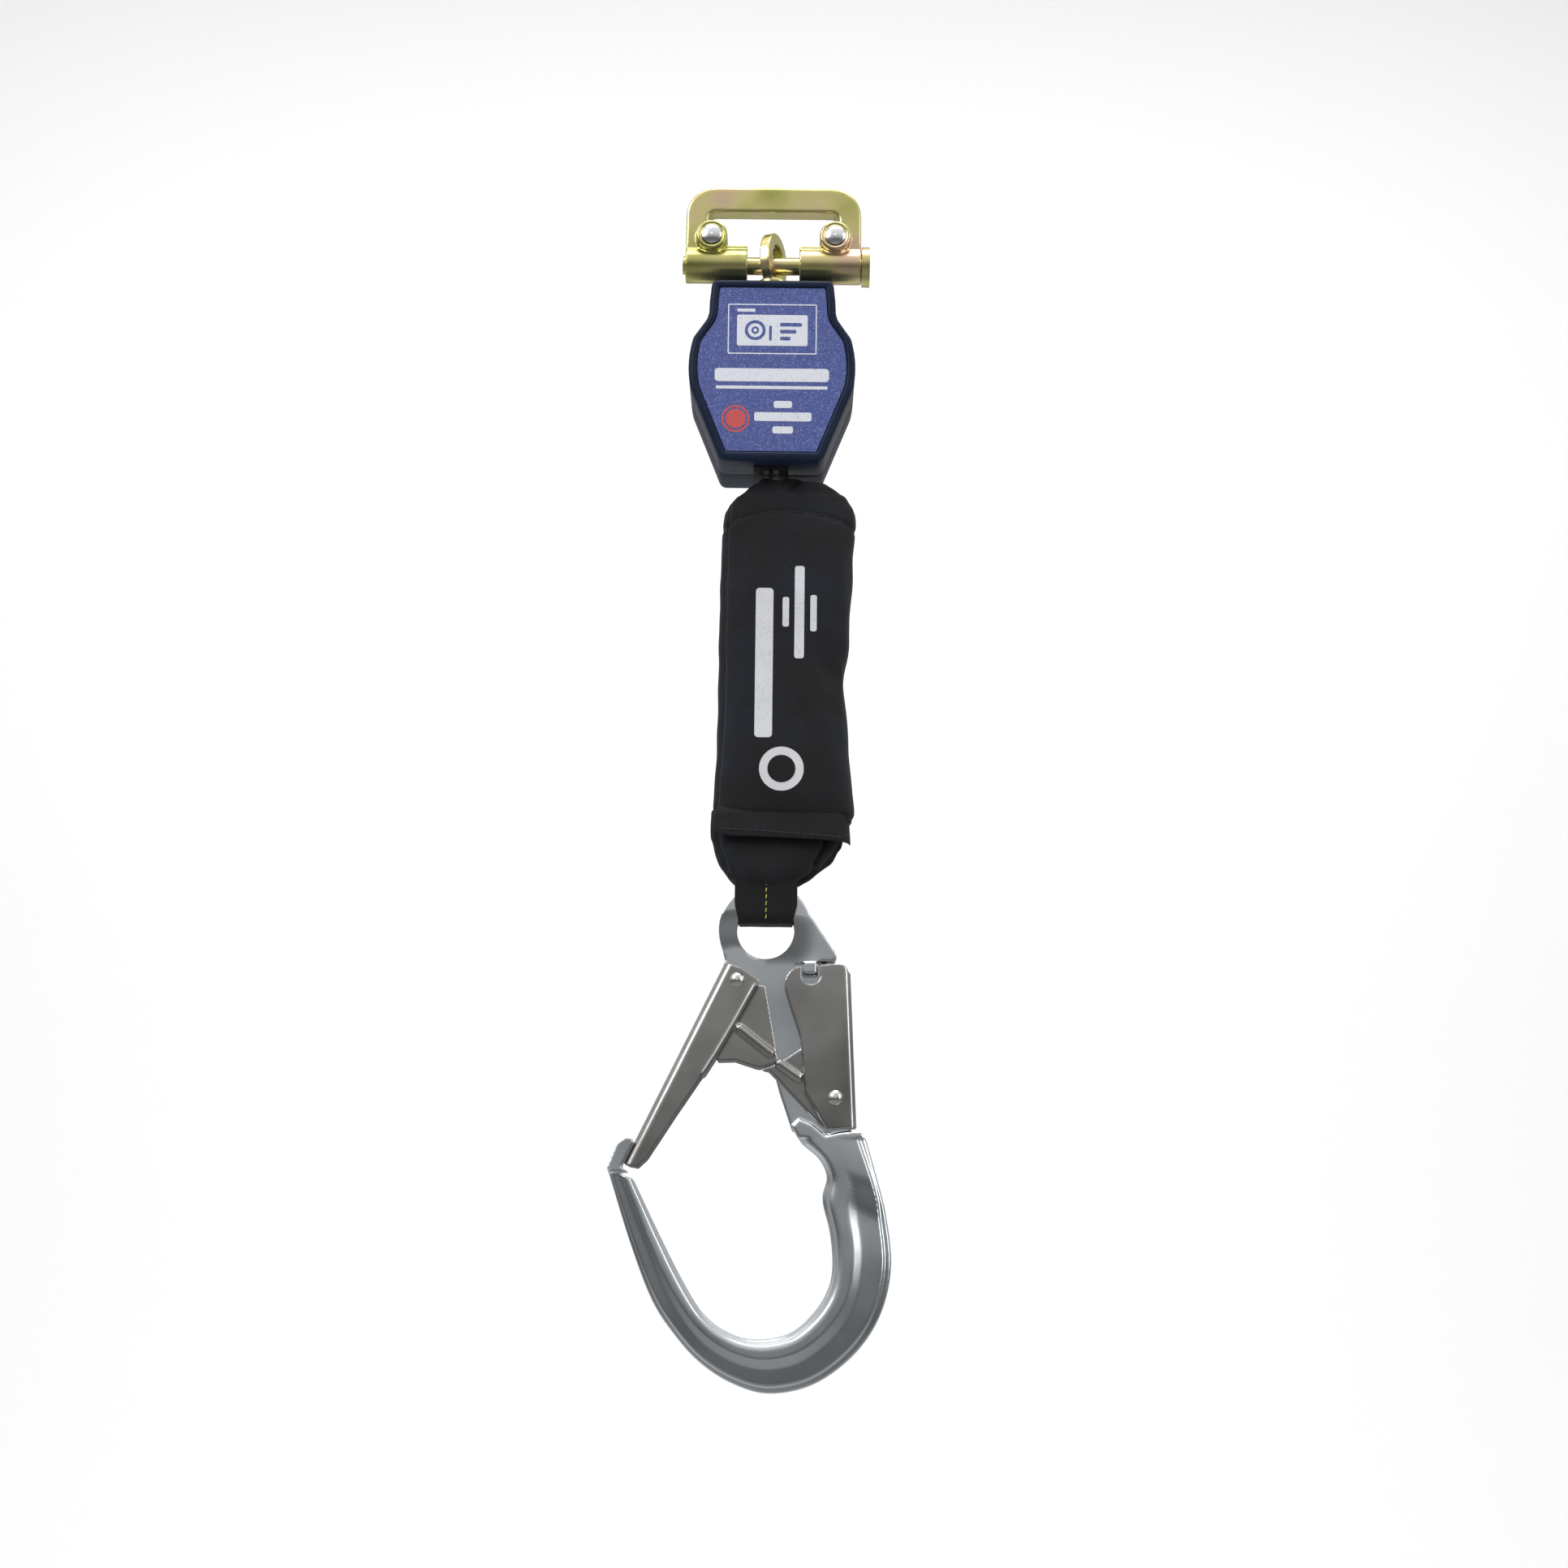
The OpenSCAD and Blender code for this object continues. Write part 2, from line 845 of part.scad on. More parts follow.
module gate() {
    color("dimgray")
        difference() {
            union() {
                plate_pair(panel_in, panel_out) gate_panel();
                plate_pair(tab_in, panel_out)
                    polygon([on_gate(-3, 7.4), on_gate(-3, 8.8), on_gate(32.5, 6.8), on_gate(32.5, 5.4)]);
                plate_pair(tab_in, tab_out) gate_web_outline();
                plate(-panel_out, panel_out)
                    polygon([on_gate(13, -gate_edge), on_gate(13, -gate_edge + sheet_t),
                        on_gate(gate_len, -gate_edge + sheet_t), on_gate(gate_len, -gate_edge)]);
                plate(-panel_out, panel_out)
                    polygon([on_gate(gate_len - sheet_t, -gate_edge), on_gate(gate_len - sheet_t, -3.4),
                        on_gate(gate_len - 0.4, -3.8), on_gate(gate_len, -5),
                        on_gate(gate_len, -gate_edge)]);
            }
            y_rod(gate_pin[0], gate_pin[1], rivet_r + run_fit, -through, through);
        }
}

// Rivet with a domed head at each end
module rivet(place) {
    head = 3.1;
    head_h = 1.5;
    dome = 4;
    y_rod(place[0], place[1], rivet_r, -panel_out - 0.1, panel_out + 0.1);
    for (side = [-1, 1])
        translate([place[0], side * (panel_out + 0.1), place[1]])
            rotate([-90 * side, 0, 0])
                intersection() {
                    translate([0, 0, head_h - dome])
                        sphere(dome);
                    cylinder(r = head, h = head_h);
                }
}

module gate_rivet() {
    color("silver")
        rivet(gate_pin);
}

module lever_rivet() {
    color("silver")
        rivet(lever_pin);
}

// Torsion spring round a rivet, one coil on each side of the spine
module torsion_spring(place) {
    color("gray")
        for (side = [-1, 1])
            difference() {
                y_rod(place[0], place[1], 4.4, side * 4.3 - spring_t, side * 4.3 + spring_t - 0.1);
                y_rod(place[0], place[1], 3.4, -through, through);
            }
}

module gate_spring() torsion_spring(gate_pin);

module lever_spring() torsion_spring(lever_pin);

module lever_panel() {
    difference() {
        polygon(concat(
            arc([16.2, -324], 7.9, 190, 100, 5),
            arc([31.4, -319.4], 4.3, 90, 10, 4),
            [[36.4, -319], [39.3, -384.6], [27, -385.2], [17.8, -370.1], [16.2, -352.9],
                [15.1, -346], [10.4, -332.2]]
        ));
        // Notch round the stop tab
        area([15.4, -319.8], [23.7, -310]);
        translate([19.55, -319.8])
            circle(4.15);
    }
}

module lever_tab_outline() {
    difference() {
        polygon([[-2, -360], [9.5, -355.2], [16, -350.8], [19, -351.5], [20.6, -371], [28.4, -384.6],
            [25, -384.8], [4.2, -363.2], [1.9, -360.9]]);
        translate(gate_pin)
            circle(tab_r + gap, $fn = 128);
    }
}

module lock_lever() {
    color("dimgray")
        difference() {
            union() {
                plate_pair(panel_in, panel_out) lever_panel();
                plate_pair(tab_in, tab_out) lever_tab_outline();
                plate_pair(tab_in, panel_out)
                    polygon([[16.3, -353.5], [17.7, -353.5], [19.4, -369.6], [28.4, -384.4],
                        [26.6, -384.6], [17.9, -370.1]]);
                plate(-panel_out, panel_out)
                    polygon([[35, -319.4], [36.4, -319.4], [39.3, -384.6], [37.9, -384.6]]);
            }
            y_rod(lever_pin[0], lever_pin[1], rivet_r + run_fit, -through, through);
        }
}

connector_body();
locking_pin();
lock_button_left();
lock_button_right();
button_springs();
lock_springs();
swivel_eye();
thrust_washers();
swivel_bush();
swivel_nut();
front_housing();
rear_housing();
front_label();
rear_label();
housing_screws();
load_frame();
web_guide();
drum();
drum_shaft();
shaft_bushes();
wound_webbing();
power_spring();
spring_cup();
spring_arbor();
ratchet_ring();
pawl_carrier();
pawl_a();
pawl_b();
pawl_pins();
pawl_springs();
lifeline_web();
absorber_upper_loop();
absorber_pack();
absorber_wrap();
absorber_lower_web();
cover_sleeve();
cover_gusset();
cover_flap();
cover_pouch();
eye_loop();
hook_body();
gate();
gate_rivet();
gate_spring();
lock_lever();
lever_rivet();
lever_spring();
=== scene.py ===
"""Self retracting lifeline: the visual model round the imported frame.
Metres, +Z up, origin at the centre of the harness connector's locking pin, -Y the front."""

import json
import math

import bmesh
import bpy
from mathutils import Matrix, Vector, noise
from mathutils.bvhtree import BVHTree


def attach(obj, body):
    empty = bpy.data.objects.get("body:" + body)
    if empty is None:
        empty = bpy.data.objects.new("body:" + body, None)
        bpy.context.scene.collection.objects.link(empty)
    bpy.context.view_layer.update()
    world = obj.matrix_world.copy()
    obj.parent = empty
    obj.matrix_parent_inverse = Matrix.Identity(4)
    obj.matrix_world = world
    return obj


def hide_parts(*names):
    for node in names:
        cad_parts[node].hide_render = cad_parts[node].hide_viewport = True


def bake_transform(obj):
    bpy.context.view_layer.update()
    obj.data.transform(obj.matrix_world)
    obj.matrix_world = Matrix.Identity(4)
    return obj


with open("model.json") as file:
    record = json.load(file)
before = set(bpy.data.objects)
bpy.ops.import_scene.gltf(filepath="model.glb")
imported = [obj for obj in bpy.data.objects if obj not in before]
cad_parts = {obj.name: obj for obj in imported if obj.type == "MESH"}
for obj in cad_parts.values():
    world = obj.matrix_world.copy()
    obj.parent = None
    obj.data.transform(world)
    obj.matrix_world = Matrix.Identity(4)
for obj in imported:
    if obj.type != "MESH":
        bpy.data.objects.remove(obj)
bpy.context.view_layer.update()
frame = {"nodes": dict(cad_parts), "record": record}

MM = 0.001
NODES = frame["nodes"]

# ---------------------------------------------------------------- camera, stage, light

CAMERA_AT = (7.2, -1200, -462.3)
CAMERA_AIM = (7.2, 0, -236.3)
CAMERA_LENS = 64.7
CAMERA_ROLL = 0.6


def make_camera():
    data = bpy.data.cameras.new("camera")
    camera = bpy.data.objects.new("camera", data)
    bpy.context.scene.collection.objects.link(camera)
    data.lens = CAMERA_LENS
    data.sensor_width = 36
    data.clip_end = 30
    at = Vector(CAMERA_AT) * MM
    aim = Vector(CAMERA_AIM) * MM
    turn = (aim - at).to_track_quat("-Z", "Y").to_matrix()
    turn = turn @ Matrix.Rotation(math.radians(CAMERA_ROLL), 3, "Z")
    camera.matrix_world = Matrix.Translation(at) @ turn.to_4x4()
    bpy.context.scene.camera = camera


def new_object(name, mesh):
    piece = bpy.data.objects.new(name, mesh)
    bpy.context.scene.collection.objects.link(piece)
    return piece


def make_stage():
    """A pale floor that curves up into a backdrop."""
    floor_z = -2.1
    near, far, top, bend = -2.6, 2.3, 3.2, 0.8
    profile = [(near, floor_z), (far - bend, floor_z)]
    for i in range(1, 13):
        a = math.pi / 2 * i / 12
        profile.append((far - bend + bend * math.sin(a), floor_z + bend * (1 - math.cos(a))))
    profile.append((far, top))
    bm = bmesh.new()
    rows = [[bm.verts.new((x, y, z)) for x in (-4, 4)] for y, z in profile]
    for a, b in zip(rows, rows[1:]):
        bm.faces.new((a[0], a[1], b[1], b[0]))
    mesh = bpy.data.meshes.new("floor")
    bm.to_mesh(mesh)
    bm.free()
    for face in mesh.polygons:
        face.use_smooth = True
    floor = new_object("floor", mesh)
    material = bpy.data.materials.new("floor")
    material.use_nodes = True
    shader = material.node_tree.nodes["Principled BSDF"]
    shader.inputs["Base Color"].default_value = (0.93, 0.93, 0.93, 1)
    shader.inputs["Roughness"].default_value = 0.9
    mesh.materials.append(material)
    # The stage lights the object, and mirror-like surfaces show the room in its place
    floor.visible_glossy = False


def area_light(name, at, aim, width, height, power):
    data = bpy.data.lights.new(name, "AREA")
    data.shape = "RECTANGLE"
    data.size, data.size_y = width, height
    data.energy = power
    light = bpy.data.objects.new(name, data)
    bpy.context.scene.collection.objects.link(light)
    light.location = at
    light.rotation_mode = "QUATERNION"
    light.rotation_quaternion = (Vector(aim) - Vector(at)).to_track_quat("-Z", "Y")


def make_lights():
    """A dim room that is brighter above, two soft boxes, and a washed backdrop."""
    world = bpy.data.worlds.new("studio")
    bpy.context.scene.world = world
    world.use_nodes = True
    tree = world.node_tree
    place = add_node(tree, "ShaderNodeTexCoord").outputs["Generated"]
    way = add_node(tree, "ShaderNodeSeparateXYZ", {"Vector": place})
    rise = add_node(tree, "ShaderNodeMapRange", {"Value": way.outputs["Z"], "From Min": -1.0,
                                                 "From Max": 1.0}).outputs["Result"]
    front = ramp_of(tree, rise, [(0.20, grey(0.30)), (0.40, grey(0.10)), (0.474, grey(0.14)),
                                 (0.526, grey(0.28)), (0.60, grey(0.50)), (0.72, grey(0.70)),
                                 (0.90, grey(0.85))])
    back = ramp_of(tree, rise, [(0.15, grey(0.70)), (0.42, grey(0.34)), (0.60, grey(0.40)),
                                (0.85, grey(0.80))])
    behind = add_node(tree, "ShaderNodeMapRange", {"Value": way.outputs["Y"], "From Min": -0.15,
                                                   "From Max": 0.35}).outputs["Result"]
    room = add_node(tree, "ShaderNodeMix", {0: behind, 6: front, 7: back},
                    data_type="RGBA").outputs[2]
    # Seen directly the room is plain and pale, like the backdrop
    seen = add_node(tree, "ShaderNodeLightPath").outputs["Is Camera Ray"]
    shown = add_node(tree, "ShaderNodeMix", {0: seen, 6: room, 7: (0.88, 0.88, 0.88, 1)},
                     data_type="RGBA").outputs[2]
    background = tree.nodes["Background"]
    tree.links.new(shown, background.inputs["Color"])
    background.inputs["Strength"].default_value = 1.0
    middle = (0, 0, -0.25)
    # Name, place, aim, width, height, watts
    for row in (("key", (-1.3, -1.3, 0.85), middle, 0.8, 1.0, 19),
                ("fill", (1.5, -1.0, 0.15), middle, 0.35, 1.5, 8),
                ("top", (0.1, -0.3, 1.2), middle, 1.2, 0.5, 10),
                ("wash", (0, 1.15, 1.1), (0, 2.3, -0.2), 3.1, 0.65, 13.6),
                ("low_wash", (0, 1.15, -1.3), (0, 2.3, -0.4), 3.1, 0.5, 5.8)):
        area_light(*row)
    bpy.context.scene.view_settings.view_transform = "Standard"


# ---------------------------------------------------------------- materials


def add_node(tree, kind, inputs=None, **settings):
    """A shader node; an input that is a socket is linked, and any other is set."""
    made = tree.nodes.new(kind)
    for key, value in settings.items():
        setattr(made, key, value)
    for key, value in (inputs or {}).items():
        if isinstance(value, bpy.types.NodeSocket):
            tree.links.new(value, made.inputs[key])
        else:
            made.inputs[key].default_value = value
    return made


def new_material(name, colour, roughness, metallic=0.0, **sockets):
    made = bpy.data.materials.new(name)
    made.use_nodes = True
    tree = made.node_tree
    shader = tree.nodes["Principled BSDF"]
    shader.inputs["Base Color"].default_value = (*colour, 1)
    shader.inputs["Roughness"].default_value = roughness
    shader.inputs["Metallic"].default_value = metallic
    for key, value in sockets.items():
        shader.inputs[key.replace("_", " ")].default_value = value
    place = add_node(tree, "ShaderNodeTexCoord").outputs["Object"]
    return made, tree, shader, place


def noise_of(tree, place, scale, detail=3.0, roughness=0.5):
    return add_node(tree, "ShaderNodeTexNoise", {"Vector": place, "Scale": scale, "Detail": detail,
                                                 "Roughness": roughness}).outputs["Fac"]


def ramp_of(tree, value, stops):
    """A colour ramp through (position, colour) stops."""
    made = add_node(tree, "ShaderNodeValToRGB", {"Fac": value})
    elements = made.color_ramp.elements
    while len(elements) < len(stops):
        elements.new(0.5)
    for element, (position, colour) in zip(elements, stops):
        element.position = position
        element.color = (*colour, 1)
    return made.outputs["Color"]


def grey(value):
    return (value, value, value)


def bump_of(tree, height, distance, strength=1.0, normal=None):
    inputs = {"Height": height, "Distance": distance, "Strength": strength}
    if normal is not None:
        inputs["Normal"] = normal
    return add_node(tree, "ShaderNodeBump", inputs).outputs["Normal"]


def vary_roughness(tree, shader, place, scale, low, high):
    value = noise_of(tree, place, scale, 4)
    made = add_node(tree, "ShaderNodeMapRange", {"Value": value, "To Min": low, "To Max": high})
    tree.links.new(made.outputs["Result"], shader.inputs["Roughness"])


def metal(name, stops, roughness, scale=45, grain=900, depth=0.00002, wave=0.0):
    """Metal whose colour drifts over the stops, with a fine tumbled grain and slow waves."""
    made, tree, shader, place = new_material(name, stops[0][1], roughness, 1.0)
    tree.links.new(ramp_of(tree, noise_of(tree, place, scale, 2), stops),
                   shader.inputs["Base Color"])
    vary_roughness(tree, shader, place, scale * 2.5, roughness - 0.06, roughness + 0.08)
    fine = bump_of(tree, noise_of(tree, place, grain, 3), depth)
    slow = bump_of(tree, noise_of(tree, place, 22, 1), wave, 1.0, fine)
    tree.links.new(slow, shader.inputs["Normal"])
    return made


# Arguments of metal(); the zinc is gold that drifts to green and pink
METALS = (
    ("zinc_yellow", [(0.30, (0.44, 0.43, 0.13)), (0.46, (0.62, 0.58, 0.23)),
                     (0.57, (0.70, 0.61, 0.29)), (0.68, (0.70, 0.52, 0.35))],
     0.27, 42, 700, 0.00003),
    ("button_steel", [(0.3, (0.80, 0.81, 0.83)), (0.7, (0.88, 0.88, 0.89))],
     0.16, 60, 1800, 0.000006),
    ("spring_steel", [(0.3, grey(0.30)), (0.7, grey(0.42))], 0.35, 80, 1500, 0.00001),
    ("plain_steel", [(0.3, (0.50, 0.50, 0.50)), (0.7, (0.64, 0.63, 0.61))],
     0.28, 60, 1500, 0.00001),
    ("bronze", [(0.3, (0.50, 0.34, 0.17)), (0.7, (0.62, 0.43, 0.23))], 0.4, 80, 2500, 0.00002),
    ("drum_metal", [(0.3, (0.60, 0.61, 0.62)), (0.7, (0.74, 0.75, 0.76))], 0.3),
    ("hook_aluminium", [(0.3, (0.60, 0.64, 0.67)), (0.7, (0.74, 0.77, 0.79))],
     0.22, 30, 1400, 0.000008, 0.0012),
    ("sheet_steel", [(0.3, (0.34, 0.335, 0.325)), (0.7, (0.47, 0.462, 0.45))],
     0.24, 38, 2400, 0.000003, 0.0016),
    ("rivet_steel", [(0.3, (0.58, 0.57, 0.54)), (0.7, (0.72, 0.70, 0.67))], 0.22),
)


def plastic_material(name, dark, light, roughness, grain=3500):
    """Moulded plastic with a fine spark-eroded texture."""
    made, tree, shader, place = new_material(name, dark, roughness, 0.0, Specular_IOR_Level=0.1)
    tree.links.new(ramp_of(tree, noise_of(tree, place, 90, 3), [(0.35, dark), (0.65, light)]),
                   shader.inputs["Base Color"])
    vary_roughness(tree, shader, place, 250, roughness - 0.05, roughness + 0.07)
    tree.links.new(bump_of(tree, noise_of(tree, place, grain, 2), 0.00002), shader.inputs["Normal"])
    return made


def label_material():
    """Blue satin film whose fine sparkle is painted into the base colour as glints."""
    made, tree, shader, place = new_material("label_film", (0.07, 0.10, 0.33), 0.42, 0.0,
                                             Coat_Weight=0.25,
                                             Coat_Roughness=0.25)
    grains_and_glints = add_node(tree, "ShaderNodeTexVoronoi", {"Vector": place,
                                                     "Scale": 2600.0}).outputs["Color"]
    value = add_node(tree, "ShaderNodeSeparateColor", {"Color": grains_and_glints}).outputs["Red"]
    # The lower stops are the film's own random grain; the top stop paints the brightest grains as
    # painted glints
    stops = [(0.0, (0.038, 0.058, 0.21)), (0.55, (0.052, 0.076, 0.26)),
             (0.86, (0.075, 0.105, 0.32)), (0.97, (0.18, 0.22, 0.47))]
    tree.links.new(ramp_of(tree, value, stops), shader.inputs["Base Color"])
    tree.links.new(bump_of(tree, value, 0.00001), shader.inputs["Normal"])
    return made


def ink_material(name, colour):
    made, tree, shader, place = new_material(name, colour, 0.55)
    worn = tuple(c * 0.72 for c in colour)
    tree.links.new(ramp_of(tree, noise_of(tree, place, 1500, 4), [(0.30, worn), (0.44, colour)]),
                   shader.inputs["Base Color"])
    tree.links.new(bump_of(tree, noise_of(tree, place, 2200, 2), 0.00003), shader.inputs["Normal"])
    return made


def weave_height(tree, place, count, angle, depth_axis="X"):
    """Height of threads that run across the X-Z plane at an angle, count to the metre."""
    turned = add_node(tree, "ShaderNodeMapping", {"Vector": place,
                                                  "Rotation": (0, angle, 0)}).outputs["Vector"]
    bands = add_node(tree, "ShaderNodeTexWave", {"Vector": turned, "Scale": count,
                                                 "Distortion": 1.2,
                                                 "Detail": 2.0, "Detail Scale": 3.0},
                     wave_type="BANDS", bands_direction=depth_axis, wave_profile="SIN")
    return bands.outputs["Fac"]


def multiply(tree, a, b):
    return add_node(tree, "ShaderNodeMath", {0: a, 1: b}, operation="MULTIPLY").outputs["Value"]


def fabric_material():
    """Black twill whose colour drifts in faint lighter bluish patches, with lint specks and slubs.
    """
    made, tree, shader, place = new_material("cover_fabric", (0.011, 0.011, 0.013), 0.86, 0.0,
                                             Sheen_Weight=0.10, Sheen_Roughness=0.5,
                                             Specular_IOR_Level=0.3)
    shader.inputs["Sheen Tint"].default_value = (0.55, 0.58, 0.66, 1)
    twill = weave_height(tree, place, 560.0, math.radians(48))
    cross = weave_height(tree, place, 640.0, math.radians(-42))
    drift = ramp_of(tree, noise_of(tree, place, 40, 4), [(0.35, (0.0085, 0.0080, 0.0080)),
                                                         (0.52, (0.0095, 0.0100, 0.0125)),
                                                         (0.70, (0.0095, 0.0125, 0.0210))])
    threads = ramp_of(tree, twill, [(0.2, grey(0.72)), (0.8, grey(1.12))])
    shade = add_node(tree, "ShaderNodeMix", {0: 1.0, 6: drift, 7: threads},
                     data_type="RGBA", blend_type="MULTIPLY")
    specks = add_node(tree, "ShaderNodeTexVoronoi", {"Vector": place,
                                                     "Scale": 170.0}).outputs["Distance"]
    lint = ramp_of(tree, specks, [(0.0, grey(1.0)), (0.055, grey(0.0))])
    colour = add_node(tree, "ShaderNodeMix", {0: lint, 6: shade.outputs[2],
                                              7: (0.10, 0.10, 0.11, 1)},
                      data_type="RGBA")
    tree.links.new(colour.outputs[2], shader.inputs["Base Color"])
    first = bump_of(tree, multiply(tree, twill, cross), 0.00012, 0.8)
    creases = bump_of(tree, noise_of(tree, place, 210, 3), 0.0005, 0.45, first)
    tree.links.new(creases, shader.inputs["Normal"])
    return made


def webbing_material():
    """Black aramid webbing with ribs along its length and fine cross threads."""
    made, tree, shader, place = new_material("webbing", (0.010, 0.010, 0.012), 0.8, 0.0,
                                             Sheen_Weight=0.05,
                                             Specular_IOR_Level=0.25)
    ribs = weave_height(tree, place, 480.0, 0.0)
    picks = weave_height(tree, place, 560.0, 0.0, "Z")
    tree.links.new(ramp_of(tree, ribs, [(0.1, grey(0.005)), (0.9, (0.012, 0.012, 0.014))]),
                   shader.inputs["Base Color"])
    tree.links.new(bump_of(tree, multiply(tree, ribs, picks), 0.00025, 0.9),
                   shader.inputs["Normal"])
    return made


BLACK_THREAD = (0.022, 0.022, 0.026)


def thread_material(name, colour):
    made, tree, shader, place = new_material(name, colour, 0.6)
    dark = tuple(c * 0.55 for c in colour)
    tree.links.new(ramp_of(tree, noise_of(tree, place, 2500, 2), [(0.35, dark), (0.6, colour)]),
                   shader.inputs["Base Color"])
    tree.links.new(bump_of(tree, noise_of(tree, place, 3000, 2), 0.00005), shader.inputs["Normal"])
    return made


def make_materials():
    made = {row[0]: metal(*row) for row in METALS}
    for name, *values in (("housing_plastic", (0.009, 0.015, 0.034), (0.012, 0.020, 0.044), 0.34),
                          ("guide_plastic", (0.010, 0.010, 0.011), (0.016, 0.016, 0.017), 0.45),
                          ("wrap_film", (0.35, 0.36, 0.38), (0.45, 0.46, 0.48), 0.25, 900)):
        made[name] = plastic_material(name, *values)
    made["label_film"] = label_material()
    made["webbing"] = webbing_material()
    made["absorber_webbing"] = thread_material("absorber_webbing", (0.28, 0.28, 0.26))
    made["cover_fabric"] = fabric_material()
    return made


def paint_cad_nodes(materials):
    """Gives every CAD node the procedural material of its slot."""
    for row in frame["record"]["subparts"]:
        node = NODES[row["node"]]
        node.data.materials.clear()
        node.data.materials.append(materials[row["material_slot"]])


# ---------------------------------------------------------------- mesh helpers


def finish_mesh(bm, name, smooth=True, sharp_angle=None):
    bmesh.ops.recalc_face_normals(bm, faces=bm.faces)
    mesh = bpy.data.meshes.new(name)
    bm.to_mesh(mesh)
    bm.free()
    for face in mesh.polygons:
        face.use_smooth = smooth
    if sharp_angle is not None:
        mesh.set_sharp_from_angle(angle=math.radians(sharp_angle))
    return new_object(name, mesh)


def apply_modifiers(piece):
    """Bakes the piece's modifiers into its mesh."""
    graph = bpy.context.evaluated_depsgraph_get()
    made = bpy.data.meshes.new_from_object(piece.evaluated_get(graph))
    piece.modifiers.clear()
    piece.data = made
    return piece


def smoothed(piece, sharp_angle=None):
    for face in piece.data.polygons:
        face.use_smooth = True
    if sharp_angle is not None:
        piece.data.set_sharp_from_angle(angle=math.radians(sharp_angle))
    return piece


def add_remesh(piece, voxel):
    remesh = piece.modifiers.new("remesh", "REMESH")
    remesh.mode = "VOXEL"
    remesh.voxel_size = voxel * MM


def add_subdivision(piece, levels):
    divide = piece.modifiers.new("divide", "SUBSURF")
    divide.levels = levels
    divide.render_levels = levels


def fused(name, bm, voxel, passes):
    """Joins overlapping closed solids into one skin with rounded edges, like a forging."""
    piece = finish_mesh(bm, name)
    add_remesh(piece, voxel)
    smooth = piece.modifiers.new("smooth", "SMOOTH")
    smooth.factor = 0.5
    smooth.iterations = passes
    return smoothed(apply_modifiers(piece))


def dress(piece, material, slot, body, *nodes):
    """Material, record slot (not used), body and the CAD nodes that the piece stands for."""
    piece.data.materials.clear()
    piece.data.materials.append(material)
    if body:
        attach(piece, body)
    if nodes:
        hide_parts(*nodes)
    return piece


def copy_of(node):
    bm = bmesh.new()
    bm.from_mesh(NODES[node].data)
    bmesh.ops.remove_doubles(bm, verts=bm.verts, dist=1e-6)
    return bm


def cut_away(bm, point, normal):
    """Removes what lies on the normal's side of a plane, and closes the cut."""
    geometry = bm.verts[:] + bm.edges[:] + bm.faces[:]
    cut = bmesh.ops.bisect_plane(bm, geom=geometry, plane_co=Vector(point) * MM, plane_no=normal,
                                 clear_outer=True)
    edges = [e for e in cut["geom_cut"] if isinstance(e, bmesh.types.BMEdge)]
    bmesh.ops.holes_fill(bm, edges=edges)


def add_loft(bm, rings, closed_ends=True):
    """Skins rings of points in millimetres; each ring is a closed loop."""
    rows = [[bm.verts.new(Vector(p) * MM) for p in ring] for ring in rings]
    count = len(rows[0])
    for a, b in zip(rows, rows[1:]):
        for i in range(count):
            j = (i + 1) % count
            bm.faces.new((a[i], a[j], b[j], b[i]))
    if closed_ends:
        bm.faces.new(rows[0][::-1])
        bm.faces.new(rows[-1])
    return rows


def add_capsule(bm, start, end, radius, steps=10):
    """A round bar with round ends between two points in millimetres."""
    a, b = Vector(start), Vector(end)
    turn = (b - a).to_track_quat("Z", "Y").to_matrix()
    length = (b - a).length
    rings = []
    for k in range(1, 5):
        lift = math.pi / 2 * k / 4
        rings.append((-radius * math.cos(lift), radius * math.sin(lift)))
    rings += [(length + radius * math.cos(math.pi / 2 * k / 4),
               radius * math.sin(math.pi / 2 * k / 4))
              for k in range(4, 0, -1)]
    loft = []
    for height, r in rings:
        loft.append([a + turn @ Vector((r * math.cos(t), r * math.sin(t), height))
                     for t in (2 * math.pi * i / steps for i in range(steps))])
    add_loft(bm, loft)


def curve_through(points, steps):
    """A Catmull-Rom curve through the points."""
    points = [Vector(p) for p in points]
    made = []
    for i in range(len(points) - 1):
        a, b = points[max(i - 1, 0)], points[i]
        c, d = points[i + 1], points[min(i + 2, len(points) - 1)]
        for k in range(steps):
            t = k / steps
            made.append(0.5 * (2 * b + (c - a) * t + (2 * a - 5 * b + 4 * c - d) * t ** 2
                               + (3 * b - a - 3 * c + d) * t ** 3))
    made.append(points[-1])
    return made


def resampled(points, count):
    """The same line with count points at equal distances."""
    lengths = [0.0]
    for a, b in zip(points, points[1:]):
        lengths.append(lengths[-1] + (b - a).length)
    made, i = [], 0
    for k in range(count):
        want = lengths[-1] * k / (count - 1)
        while i < len(points) - 2 and lengths[i + 1] < want:
            i += 1
        span = lengths[i + 1] - lengths[i] or 1.0
        made.append(points[i].lerp(points[i + 1], (want - lengths[i]) / span))
    return made


def graph_value(points, at):
    """Smooth interpolation of (position, value) pairs."""
    if at <= points[0][0]:
        return points[0][1]
    for (a, va), (b, vb) in zip(points, points[1:]):
        if at <= b:
            t = (at - a) / (b - a)
            return va + (vb - va) * t * t * (3 - 2 * t)
    return points[-1][1]


def arc_points(cx, cz, radius, start, end, steps):
    return [Vector((cx + radius * math.cos(math.radians(start + (end - start) * i / steps)),
                    cz + radius * math.sin(math.radians(start + (end - start) * i / steps))))
            for i in range(steps + 1)]


